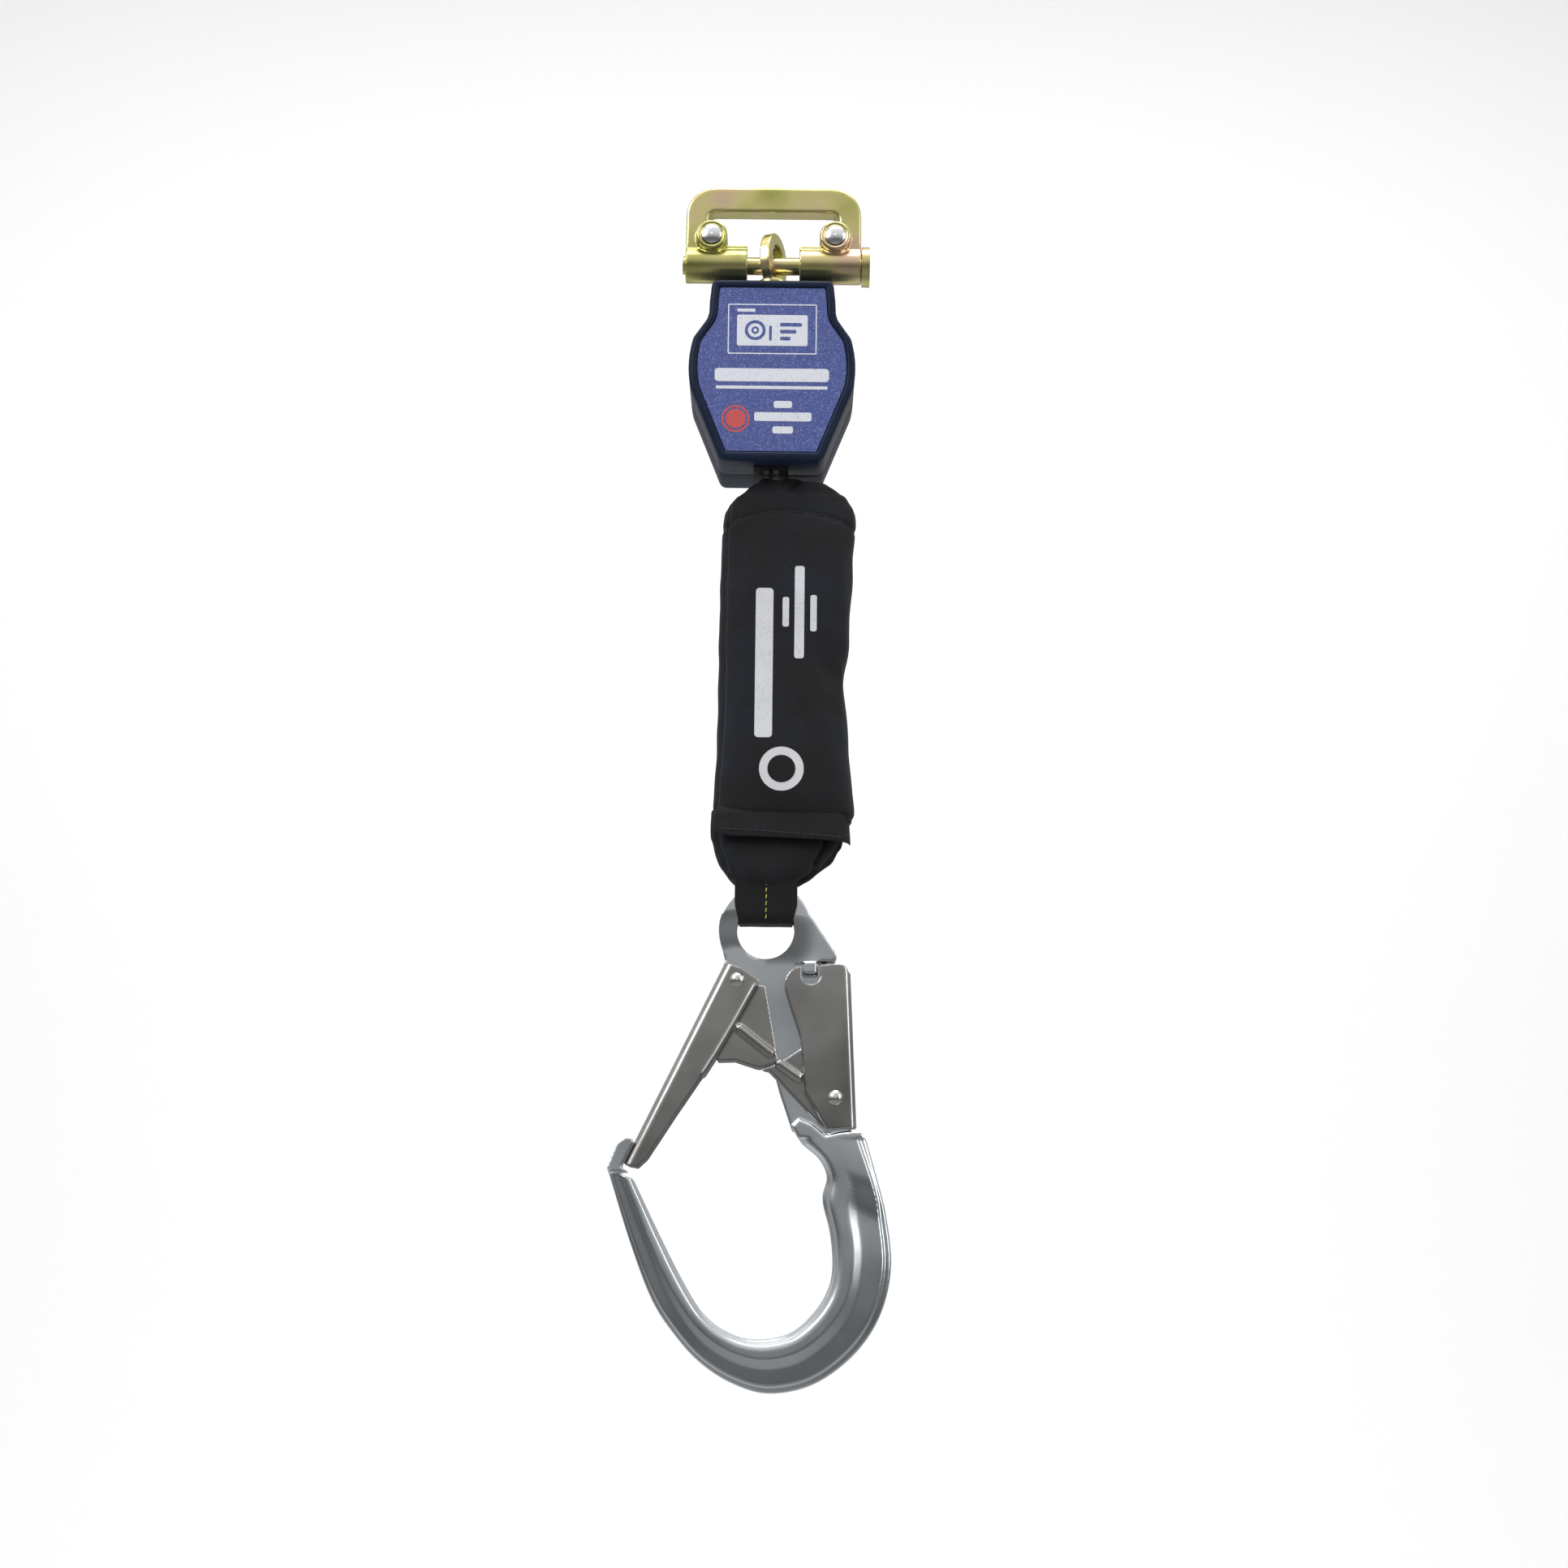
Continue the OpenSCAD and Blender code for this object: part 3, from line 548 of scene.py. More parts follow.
def inset_loop(loop, amount):
    """Moves a clockwise loop inwards; points past a tight corner go back between the others."""
    made = []
    count = len(loop)
    for i, p in enumerate(loop):
        before = (p - loop[i - 1]).normalized()
        after = (loop[(i + 1) % count] - p).normalized()
        along = (before + after).normalized()
        made.append(p + Vector((along.y, -along.x)) * amount)
    if amount < 1:
        return made
    good = [i for i, p in enumerate(made) if min((q - p).length for q in loop) > amount - 0.04]
    for a, b in zip(good, good[1:] + [good[0] + count]):
        for k in range(a + 1, b):
            made[k % count] = made[a].lerp(made[b % count], (k - a) / (b - a))
    return made


# ---------------------------------------------------------------- housing

HOUSE_TOP = -14.5
HOUSE_BOTTOM = -97.3
HOUSE_HALF_DEPTH = 23.0


def house_outline():
    side = (arc_points(24, HOUSE_TOP - 3, 3, 90, 0, 8) + [Vector((27.7, -24)),
                                                          Vector((27.9, -29.5))]
            + [Vector((28.8, -32.6))]
            + arc_points(-10.4, -54.5, 47, 16.7, -13, 20)
            + arc_points(20, HOUSE_BOTTOM + 3.5, 3.5, -22, -90, 8))
    other = [Vector((-p.x, p.y)) for p in reversed(side)]
    return resampled_loop(side + other, 220)


def resampled_loop(points, count):
    return resampled(points + [points[0]], count + 1)[:-1]


def add_shell(bm, side):
    """One half of the housing: side -1 is the front, 1 the back."""
    outline = house_outline()
    front = HOUSE_HALF_DEPTH
    profile = [(3.1, front - 3), (3.1, 0.08), (0.55, 0.08), (0.12, 0.12), (0.0, 0.55),
               (0.0, front - 3.2), (0.10, front - 2.1), (0.45, front - 1.1), (1.05, front - 0.35),
               (1.8, front), (2.75, front - 0.02), (3.35, front - 0.25), (3.65, front - 0.7),
               (3.7, front - 1.15)]
    rings = []
    for inset, depth in profile:
        rings.append([(p.x, side * depth, p.y) for p in inset_loop(outline, inset)])
    add_loft(bm, rings)


SCREW_PLACES = ((-20, -25.2), (20, -25.2), (-15.5, -88.4), (15.5, -88.4))


def circle_at(place, radius, depth):
    return [(p.x, depth, p.y) for p in arc_points(place[0], place[1], radius, 360, 0, 40)[:-1]]


def add_screw_wells(bm):
    """Round wells in the rear shell, in which the heads of the screws sit."""
    profile = ((3.3, 19), (3.3, 22.0), (3.2, 22.1), (3.05, 22.1), (2.95, 22.0), (2.95, 19.95))
    for place in SCREW_PLACES:
        add_loft(bm, [circle_at(place, radius, depth) for radius, depth in profile])


def cut_wells(label):
    """Cuts the label away over the four screws."""
    bm = bmesh.new()
    for place in SCREW_PLACES:
        add_loft(bm, [circle_at(place, 3.4, 20), circle_at(place, 3.4, 24)])
    cutter = finish_mesh(bm, "well_cutter", False)
    cut = label.modifiers.new("wells", "BOOLEAN")
    cut.operation = "DIFFERENCE"
    cut.object = cutter
    apply_modifiers(label)
    bpy.data.objects.remove(cutter)
    return smoothed(label, 20)


def make_housing(materials):
    for side, name, node in ((-1, "front_shell", "front_housing"),
                             (1, "rear_shell", "rear_housing")):
        bm = bmesh.new()
        add_shell(bm, side)
        if side > 0:
            add_screw_wells(bm)
        piece = finish_mesh(bm, name, True, 50)
        dress(piece, materials["housing_plastic"], "housing_plastic", "housing", node)
    for side, name, node in ((-1, "label_plate_front", "front_label"),
                             (1, "label_plate_rear", "rear_label")):
        bm = bmesh.new()
        loop = inset_loop(house_outline(), 3.95)
        low, high = HOUSE_HALF_DEPTH - 1.3, HOUSE_HALF_DEPTH - 0.75
        rings = [[(p.x, side * low, p.y) for p in loop],
                 [(p.x, side * (high - 0.12), p.y) for p in loop],
                 [(p.x, side * high, p.y) for p in inset_loop(loop, 0.15)]]
        add_loft(bm, rings)
        piece = finish_mesh(bm, name, True, 20)
        if side > 0:
            cut_wells(piece)
        dress(piece, materials["label_film"], "label_film", "housing", node)


LABEL_FACE = -(HOUSE_HALF_DEPTH - 0.75)


def add_patch(bm, outline, face, thick=0.05):
    """A flat printed patch in front of the label."""
    add_loft(bm, [[(p[0], face, p[1]) for p in outline],
                  [(p[0], face - thick, p[1]) for p in outline]])


def rounded_box(x0, z0, x1, z1, radius):
    made = []
    for cx, cz, start in ((x1 - radius, z1 - radius, 90), (x1 - radius, z0 + radius, 0),
                          (x0 + radius, z0 + radius, -90), (x0 + radius, z1 - radius, -180)):
        made += arc_points(cx, cz, radius, start, start - 90, 5)
    return made


def add_ring_patch(bm, cx, cz, outer, inner, face, thick=0.05):
    add_frame_patch(bm, arc_points(cx, cz, outer, 360, 0, 40)[:-1],
                    arc_points(cx, cz, inner, 360, 0, 40)[:-1],
                    face, thick)


def add_frame_patch(bm, outer, inner, face, thick=0.05):
    """A flat printed line between two loops with the same number of points."""
    loops = [[bm.verts.new(Vector((p[0], y, p[1])) * MM) for p in loop]
             for loop, y in ((outer, face), (outer, face - thick), (inner, face - thick),
                             (inner, face))]
    count = len(outer)
    for a, b in zip(loops, loops[1:] + loops[:1]):
        for i in range(count):
            j = (i + 1) % count
            bm.faces.new((a[i], a[j], b[j], b[i]))


def make_label_print(materials):
    """Generic marks: a framed reel symbol, bars for the wording, and a red dot."""
    white = ink_material("label_ink_white", (0.66, 0.68, 0.74))
    red = ink_material("label_ink_red", (0.52, 0.07, 0.07))
    bm = bmesh.new()
    add_frame_patch(bm, rounded_box(-19.5, -49, 19.5, -26, 0.6),
                    rounded_box(-19.0, -48.5, 19.0, -26.5, 0.4),
                    LABEL_FACE)
    for bar in ((-15.5, -45.2, 15.5, -31, 0.8), (-15.5, -29.6, -7.5, -28.2, 0.5),
                (-25, -61.6, 25, -55.6, 1.6), (-24.4, -65.0, 24.4, -63.6, 0.6),
                (1, -73.6, 9, -70.4, 1.0), (-7.5, -79.6, 17.5, -75.6, 1.0),
                (0.5, -85.2, 9.5, -82.0, 1.0)):
        add_patch(bm, rounded_box(*bar), LABEL_FACE)
    dress(finish_mesh(bm, "label_print_white", False), white, "label_film", "housing")
    bm = bmesh.new()
    add_patch(bm, arc_points(-15.6, -78.6, 4.4, 360, 0, 36)[:-1], LABEL_FACE)
    add_ring_patch(bm, -15.6, -78.6, 6.2, 5.3, LABEL_FACE)
    dress(finish_mesh(bm, "label_print_red", False), red, "label_film", "housing")
    blue = materials["label_film"]
    bm = bmesh.new()
    for cx, outer, inner in ((-7.5, 4.6, 3.2), (-7.5, 1.7, 0.8)):
        add_ring_patch(bm, cx, -38.1, outer, inner, LABEL_FACE - 0.05, 0.03)
    add_patch(bm, rounded_box(-1.4, -42.9, -0.2, -36.0, 0.5), LABEL_FACE - 0.05, 0.03)
    for k in range(3):
        add_patch(bm, rounded_box(3.4, -36.3 - 3.2 * k, 13.0 - 2.5 * k, -34.6 - 3.2 * k, 0.6),
                  LABEL_FACE - 0.05, 0.03)
    dress(finish_mesh(bm, "label_print_symbol", False), blue, "label_film", "housing")


# ---------------------------------------------------------------- connector and swivel


def make_connector(materials):
    zinc = materials["zinc_yellow"]
    body = fused("connector_forging", copy_of("connector_body"), 0.42, 5)
    soften_more(body, lambda p: p.z > 8.6 and (abs(p.x) > 35 or p.z > 16), 12)
    dress(body, zinc, "zinc_yellow", "connector", "connector_body")
    eye = fused("swivel_forging", copy_of("swivel_eye"), 0.4, 7)
    dress(eye, zinc, "zinc_yellow", "swivel", "swivel_eye")
    soften("locking_pin", 0.7, 4)
    for node in ("lock_button_left", "lock_button_right"):
        soften(node, 0.25, 3)
    soften("thrust_washers", 0.35, 3)
    bm = bmesh.new()
    for side in (-1, 1):
        centre = Vector((27.6 * side, 0, 11.3))
        rings = []
        for radius, depth in ((4.75, -9.2), (5.0, -9.62), (5.5, -9.9), (6.1, -9.9), (6.6, -9.6),
                              (6.8, -9.0)):
            rings.append([centre + Vector((radius * math.cos(t), depth, radius * math.sin(t)))
                          for t in (2 * math.pi * i / 48 for i in range(48))])
        add_loft(bm, rings, False)
    rims = finish_mesh(bm, "button_collar_rims")
    dress(rims, zinc, "zinc_yellow", "connector")
    # The wire catches stay in the frame when the pin is drawn
    catches = finish_mesh(copy_of("lock_springs"), "catch_wires", True, 40)
    dress(catches, materials["spring_steel"], "spring_steel", "connector", "lock_springs")


def soften_more(piece, chosen, passes):
    """Rounds the chosen part of a skin further."""
    bm = bmesh.new()
    bm.from_mesh(piece.data)
    verts = [v for v in bm.verts if chosen(v.co / MM)]
    for _ in range(passes):
        bmesh.ops.smooth_vert(bm, verts=verts, factor=0.5, use_axis_x=True, use_axis_y=True,
                              use_axis_z=True)
    bm.to_mesh(piece.data)
    bm.free()


def soften(node, width, segments):
    """Rounds a CAD node's sharp edges with a modifier, so that they catch the light."""
    piece = NODES[node]
    for face in piece.data.polygons:
        face.use_smooth = True
    bevel = piece.modifiers.new("soft_edges", "BEVEL")
    bevel.width = width * MM
    bevel.segments = segments
    bevel.limit_method = "ANGLE"
    bevel.angle_limit = math.radians(40)
    bevel.harden_normals = True


# ---------------------------------------------------------------- hook

BOW_OUTER = [(43.3, -388.8), (46.7, -400.5), (52, -420.8), (54.2, -442.7), (49.6, -462.5),
             (38.8, -478.6), (22, -490.8), (3.5, -494.7), (-12, -490.6), (-25.5, -482.2),
             (-36.5, -470.6), (-46, -456.5), (-55.5, -433), (-65.6, -402.5)]
BOW_INNER = [(15.0, -388.8), (16.6, -391.3), (23.7, -397.4), (27, -405), (25.2, -414.4),
             (28.4, -427.9), (29.6, -441.4), (27.9, -451.4), (21.7, -461.6), (11.6, -470),
             (-1.9, -472.6), (-13.9, -469.7), (-24.2, -462.2), (-33, -448.9), (-43.6, -428.9),
             (-54.6, -406.8)]
BOW_STEPS = 110
# How far across the bow, from the inside out, and half its thickness there; the flat section
# at the shank has the same places across
BOW_RIDGED = [(0.0, 2.4), (0.03, 3.2), (0.055, 3.4), (0.075, 4.6), (0.11, 6.2), (0.16, 6.85),
              (0.21, 7.0), (0.36, 7.0), (0.375, 6.95), (0.53, 5.3), (0.55, 5.15), (0.85, 4.5),
              (0.87, 4.3), (0.89, 3.4), (0.97, 3.0), (1.0, 2.2)]
BOW_FLAT = [3.4, 4.6, 5.0, 5.8, 6.6, 6.95, 7.0, 7.0, 7.0, 7.0, 7.0,
            6.9, 6.8, 4.5, 4.0, 3.2]
BOW_BLEND = [(0.07, 0.0), (0.15, 1.0)]
BOW_SLIM = [(0.62, 1.0), (0.97, 0.74)]


def add_bow(bm):
    outer = resampled(curve_through(BOW_OUTER, 12), BOW_STEPS)
    inner = resampled(curve_through(BOW_INNER, 12), BOW_STEPS)
    rings = []
    for i in range(BOW_STEPS):
        u = i / (BOW_STEPS - 1)
        mix, slim = graph_value(BOW_BLEND, u), graph_value(BOW_SLIM, u)
        front, back = [], []
        for (s, ridged), flat in zip(BOW_RIDGED, BOW_FLAT):
            p = inner[i].lerp(outer[i], s)
            half = (flat + (ridged - flat) * mix) * slim
            front.append((p.x, -half, p.y))
            back.append((p.x, half, p.y))
        rings.append(front + back[::-1])
    add_loft(bm, rings)


GATE_PIN = Vector((-11.9, -322.4))
GATE_SIDE = Vector((0.900, -0.437))
GATE_EDGE = 8.0
GATE_ALONG = Vector((-0.437, -0.900))
LEVER_EDGE = [Vector((36.4, -319.4)), Vector((39.3, -384.6))]


def on_gate(along, across):
    return GATE_PIN + GATE_ALONG * along + GATE_SIDE * across


def thin_eye(hook):
    """Tapers the eye's lower half down to the shank's thickness."""
    thin, full = 3.2, 6.6
    for vertex in hook.data.vertices:
        p = vertex.co / MM
        if not -317 < p.z < -286 or (p.z < -314.6 and p.x > 14):
            continue
        limit = graph_value([(-316, thin), (-292, full)], p.z)
        limit = graph_value([(12, limit), (25, full)], p.x)
        from_pin = (Vector((p.x, p.z)) - GATE_PIN).length
        limit = min(limit, graph_value([(13.6, thin), (32, full)], from_pin))
        if abs(p.y) > limit:
            vertex.co.y = math.copysign(limit, p.y) * MM


def make_hook(materials):
    bm = copy_of("hook_body")
    cut_away(bm, (0, 0, -389), (0, 0, -1))
    nose = copy_of("hook_body")
    cut_away(nose, (-48, 0, 0), (1, 0, 0))
    cut_away(nose, (0, 0, -404), (0, 0, -1))
    mesh = bpy.data.meshes.new("nose_part")
    nose.to_mesh(mesh)
    nose.free()
    bm.from_mesh(mesh)
    bpy.data.meshes.remove(mesh)
    add_bow(bm)
    hook = fused("hook_forging", bm, 0.42, 6)
    thin_eye(hook)
    dress(hook, materials["hook_aluminium"], "hook_aluminium", "hook", "hook_body")


PRESSING_HALF = 6.6


def round_bend(piece, distance, radius):
    """Bends a pressing's side panels round towards its spine, which distance measures from."""
    for vertex in piece.data.vertices:
        p = vertex.co / MM
        d = distance(Vector((p.x, p.z)))
        if d < radius:
            u = 1 - max(d, 0) / radius
            drop = radius * (1 - math.sqrt(max(0.0, 1 - u * u)))
            vertex.co.y *= (PRESSING_HALF - min(drop, 0.55 * radius)) / PRESSING_HALF


def crown(piece, middle_z, amount):
    """Gives the side panels a slight belly along their length."""
    for vertex in piece.data.vertices:
        z = vertex.co.z / MM
        vertex.co.y *= 1 - amount * (z - middle_z) ** 2 / PRESSING_HALF


def gate_distance(p):
    return (p - GATE_PIN).dot(GATE_SIDE) + GATE_EDGE


def lever_distance(p):
    along = (LEVER_EDGE[1] - LEVER_EDGE[0]).normalized()
    return Vector((along.y, -along.x)).dot(p - LEVER_EDGE[0])


def make_latch(materials):
    """Gate and lever: pressed sheet with ribs and round bends."""
    steel = materials["sheet_steel"]
    bm = copy_of("gate")
    for side in (-1, 1):
        add_capsule(bm, (-10.6, side * 4.3, -343.0), (2.6, side * 4.3, -353.2), 2.1)
        lip = [on_gate(along, across) for along, across in ((-1.5, 7.9), (16, 7.1), (32, 6.0),
                                                            (42, 4.9))]
        for a, b in zip(lip, lip[1:]):
            add_capsule(bm, (a.x, side * 5.75, a.y), (b.x, side * 5.75, b.y), 1.2)
    gate = fused("gate_pressing", bm, 0.38, 4)
    round_bend(gate, gate_distance, 3.6)
    crown(gate, -345, 0.00022)
    dress(gate, steel, "sheet_steel", "gate", "gate")
    bm = copy_of("lock_lever")
    for side in (-1, 1):
        add_capsule(bm, (6.6, side * 4.3, -357.8), (14.6, side * 4.3, -363.4), 2.0)
    lever = fused("lever_pressing", bm, 0.38, 4)
    round_bend(lever, lever_distance, 3.2)
    crown(lever, -342, 0.0005)
    dress(lever, steel, "sheet_steel", "lever", "lock_lever")
    for node in ("gate_rivet", "lever_rivet"):
        soften(node, 0.3, 3)


# ---------------------------------------------------------------- webbing


def add_strap(bm, path, half_width, half_thick, across):
    """A flat strap along a path; half_width is a function of the place along it, from 0 to 1."""
    rings = []
    count = len(path)
    for i, p in enumerate(path):
        along = (path[min(i + 1, count - 1)] - path[max(i - 1, 0)]).normalized()
        normal = along.cross(across).normalized()
        wide = half_width(i / (count - 1))
        ring = []
        for s, t in ((-1, -0.45), (-0.985, -0.85), (-0.94, -1), (-0.5, -1.0), (0, -1.0),
                     (0.5, -1.0), (0.94, -1), (0.985, -0.85), (1, -0.45), (1, 0.45), (0.985, 0.85),
                     (0.94, 1), (0.5, 1.0), (0, 1.0), (-0.5, 1.0), (-0.94, 1), (-0.985, 0.85),
                     (-1, 0.45)):
            ring.append(p + across * (wide * s) + normal * (half_thick * t))
        rings.append(ring)
    add_loft(bm, rings)


def loop_path():
    """Down the front, under the hook's eye and up the back."""
    reach, low, bend = 8.05, -297.0, 3.6
    points = [Vector((0, -reach, z)) for z in (-277.5, -281, -285, -289, -291.5, low + bend)]
    for i in range(1, 7):
        a = math.pi / 2 * i / 6
        points.append(Vector((0, -reach + bend * (1 - math.cos(a)),
                              low + bend - bend * math.sin(a))))
    points.append(Vector((0, 0, low)))
    back = [Vector((0, -p.y, p.z)) for p in reversed(points[:-1])]
    return resampled(points + back, 90)


def loop_half_width(t):
    """Narrower where the webbing bunches inside the eye."""
    return graph_value([(0.0, 13.4), (0.22, 13.4), (0.40, 11.6), (0.60, 11.6), (0.78, 13.4),
                        (1.0, 13.4)], t)


def make_webbing(materials):
    webbing = materials["webbing"]
    bm = bmesh.new()
    add_strap(bm, loop_path(), loop_half_width, 1.3, Vector((1, 0, 0)))
    top = [Vector((0, y, -278.4)) for y in (-9.3, -4.6, 0, 4.6, 9.3)]
    add_strap(bm, top, lambda t: 13.4, 1.3, Vector((1, 0, 0)))
    loop = finish_mesh(bm, "hook_loop_webbing", True, 60)
    for vertex in loop.data.vertices:
        p = vertex.co / MM
        ripple = noise.noise(Vector((p.x * 0.16, p.y * 0.1, p.z * 0.13)))
        vertex.co += Vector((0.12 * ripple, 0.22 * ripple * (1 if p.y > 0 else -1),
                             0.25 * ripple)) * MM
    dress(loop, webbing, "webbing", None, "eye_loop")
    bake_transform(loop)
    bm = bmesh.new()
    z = -280.5
    while z > -296.5:
        for side in (-1, 1):
            add_capsule(bm, (0.2, side * 9.42, z), (0.0, side * 9.42, z - 1.3), 0.24, 8)
        z -= 2.9
    stitches = finish_mesh(bm, "hook_loop_stitches")
    dress(stitches, thread_material("yellow_thread", (0.60, 0.53, 0.10)), "webbing", None)
    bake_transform(stitches)
    bm = bmesh.new()
    path = [Vector((0, 0, -89 - 28 * i / 60)) for i in range(61)]
    add_strap(bm, path, lambda t: 9.8, 0.75, Vector((0, 1, 0)))
    strap = finish_mesh(bm, "lifeline_strap", True, 60)
    dress(strap, webbing, "webbing", None, "lifeline_web")
    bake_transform(strap)


# ---------------------------------------------------------------- fabric cover

COVER_LEFT = [(-99.4, -4), (-103.2, -10), (-109, -17.8), (-113, -20.9), (-122, -22.5),
              (-154, -23.0), (-174, -23.6), (-198, -23.6), (-224, -23.8), (-240, -24.9),
              (-250, -25.1), (-258, -24.4), (-262, -23.8)]
COVER_RIGHT = [(-99.4, 20), (-102, 26.5), (-106, 29.2), (-110, 35.2), (-115, 37.4), (-146, 37.8),
               (-173, 37.2), (-192, 34.7), (-198, 35.4), (-213, 36.4), (-248, 36.9), (-258, 36.8),
               (-262, 36.6)]
COVER_HALF_DEPTH = [(-262, 12.4), (-252, 14.0), (-225, 14.2), (-190, 13.8), (-150, 14.2),
                    (-122, 14.2), (-112, 13.6), (-105, 12.6), (-101, 11.4), (-99.4, 9.6)]
POUCH_LEFT = [(-248, -24.4), (-256, -25.2), (-264, -23.8), (-271, -21.4), (-277.5, -17.4),
              (-281.5, -13.5), (-283.5, -8)]
POUCH_RIGHT = [(-248, 34), (-256, 34.5), (-263, 33.2), (-267, 30.6), (-272, 27.4), (-276.5, 20.5),
               (-280.5, 14.8), (-283.5, 8)]
POUCH_HALF_DEPTH = [(-283.5, 11.0), (-281, 12.2), (-275, 13.0), (-268, 12.0), (-262, 10.2),
                    (-248, 9.0)]


def edge_value(points, z):
    """Value of a downward list of (z, value) at a height."""
    return graph_value([(-a, b) for a, b in points], -z)


def rounded_section(left, right, half_depth, z, count=56, power=4.4):
    """A flattened round section, as a stuffed bag has."""
    centre, half = (left + right) / 2, (right - left) / 2
    ring = []
    for i in range(count):
        t = 2 * math.pi * i / count
        c, s = math.cos(t), math.sin(t)
        x = math.copysign(abs(c) ** (2 / power), c)
        y = math.copysign(abs(s) ** (2 / power), s)
        ring.append((centre + half * x, half_depth * y, z))
    return ring


def cloth_form(name, rings, voxel, cap):
    """Inflates a closed bag with the cloth simulation, and caps how far a point may move."""
    bm = bmesh.new()
    add_loft(bm, rings)
    piece = finish_mesh(bm, name)
    add_remesh(piece, voxel)
    apply_modifiers(piece)
    rest = [v.co.copy() for v in piece.data.vertices]
    cloth = piece.modifiers.new("cloth", "CLOTH")
    cloth.settings.quality = 5
    cloth.settings.use_pressure = True
    cloth.settings.uniform_pressure_force = 4.0
    cloth.settings.effector_weights.gravity = 0
    cloth.settings.tension_stiffness = 25
    cloth.settings.bending_stiffness = 0.6
    scene = bpy.context.scene
    for frame_number in range(1, 21):
        scene.frame_set(frame_number)
    apply_modifiers(piece)
    scene.frame_set(1)
    for vertex, start in zip(piece.data.vertices, rest):
        move = vertex.co - start
        if move.length > cap * MM:
            vertex.co = start + move.normalized() * cap * MM
    return piece


def fabric_finish(piece, wrinkle):
    """Subdivides the bag, then adds creases along its normals."""
    add_subdivision(piece, 2)
    apply_modifiers(piece)
    normals = [v.normal.copy() for v in piece.data.vertices]
    for vertex, normal in zip(piece.data.vertices, normals):
        vertex.co += normal * wrinkle(vertex.co / MM) * MM
    return smoothed(piece)


def fold(p, across, along, seed):
    """Soft crease pattern, longer along one way than across."""
    return noise.noise(Vector((p.x / across + seed, p.y / 9.0, p.z / along)))


def dip(value, width):
    """A rounded groove profile: 1 in the middle, 0 outside."""
    return math.exp(-(value / width) ** 2)


def strip_seam_x(z):
    """The seam between the front panel and the strip down the left edge."""
    width = graph_value([(-262, 1.8), (-246, 3.6), (-180, 4.2), (-122, 3.6), (-108, 2.4)], z)
    return edge_value(COVER_LEFT, z) + width


def top_seam_z(x):
    return -118.0 - 0.0075 * (x - 8) ** 2


def sleeve_wrinkle(p):
    made = 0.45 * fold(p, 14, 24, 3.1) + 0.25 * fold(p, 5, 10, 8.7) + 0.35 * fold(p, 24, 13, 5.5)
    gather = graph_value([(-126, 0), (-100, 1)], p.z)
    made += gather * 1.5 * noise.noise(Vector((p.x / 6.0, p.y / 6, p.z / 15)))
    if p.y < -3:
        # A deep fold at the neck, and the front panel's turned top edge
        made -= 2.4 * dip(p.x - 10.5 - 0.5 * (p.z + 104), 2.6) * graph_value([(-111, 0), (-103, 1)],
                                                                             p.z)
        made += 0.7 * graph_value([(-110.5, 1), (-108.5, 0)], p.z) - 0.4
        made -= 1.1 * dip(p.x - strip_seam_x(p.z), 0.75)
    made -= 0.8 * dip(p.z - top_seam_z(p.x), 0.9)
    made -= 0.7 * dip(p.z + 251.5 + 0.03 * (p.x - 5), 0.9)
    return made


def lobe_edge(z):
    """How far the pouch's front lobe reaches to the right."""
    return graph_value([(-284, 6.0), (-281, 13.0), (-275, 19.5), (-262, 24.0)], z)


def pouch_wrinkle(p):
    made = 0.45 * fold(p, 9, 14, 1.7) + 0.25 * fold(p, 4, 8, 5.9)
    low = graph_value([(-281, 1), (-262, 0)], p.z)
    made += low * 0.8 * noise.noise(Vector((p.x / 7.5 + 0.08 * p.z, p.y / 7, p.z / 11)))
    if p.y < -2:
        right, left = p.x - lobe_edge(p.z), p.x + 0.92 * lobe_edge(p.z) - 1
        made += 0.9 * (graph_value([(-1.5, 1), (0.6, 0)], right) - 0.5)
        made -= 1.9 * dip(right - 1.3, 1.2) + 1.2 * dip(left, 0.9)
        made -= 1.0 * dip(right - 6.5 - 0.2 * (p.z + 270), 1.3)
    return made


def fabric_tree(piece):
    return BVHTree.FromPolygons([v.co.copy() for v in piece.data.vertices],
                                [tuple(f.vertices) for f in piece.data.polygons])


def front_point(tree, x, z, lift=0.0, side=-1):
    """The point of the fabric's front (or back) at (x, z), lifted off it."""
    hit = tree.ray_cast(Vector((x, side * 60, z)) * MM, Vector((0, -side, 0)))[0]
    if hit is None:
        return None
    return (hit / MM) + Vector((0, side, 0)) * lift


def add_stitches(bm, tree, path, lift=0.05, dash=2.0, gap=1.1, radius=0.24, side=-1):
    """Short threads laid along a line on the fabric."""
    last = 399
    line = resampled([Vector(p) for p in path], last + 1)
    length = sum((b - a).length for a, b in zip(line, line[1:]))
    step = length / last
    i = 0
    while i + int(dash / step) < last:
        j = i + max(1, int(dash / step))
        a = front_point(tree, line[i].x, line[i].y, lift, side)
        b = front_point(tree, line[j].x, line[j].y, lift, side)
        if a is not None and b is not None and (a - b).length < 2 * dash:
            add_capsule(bm, a, b, radius, 6)
        i = j + max(1, int(gap / step))


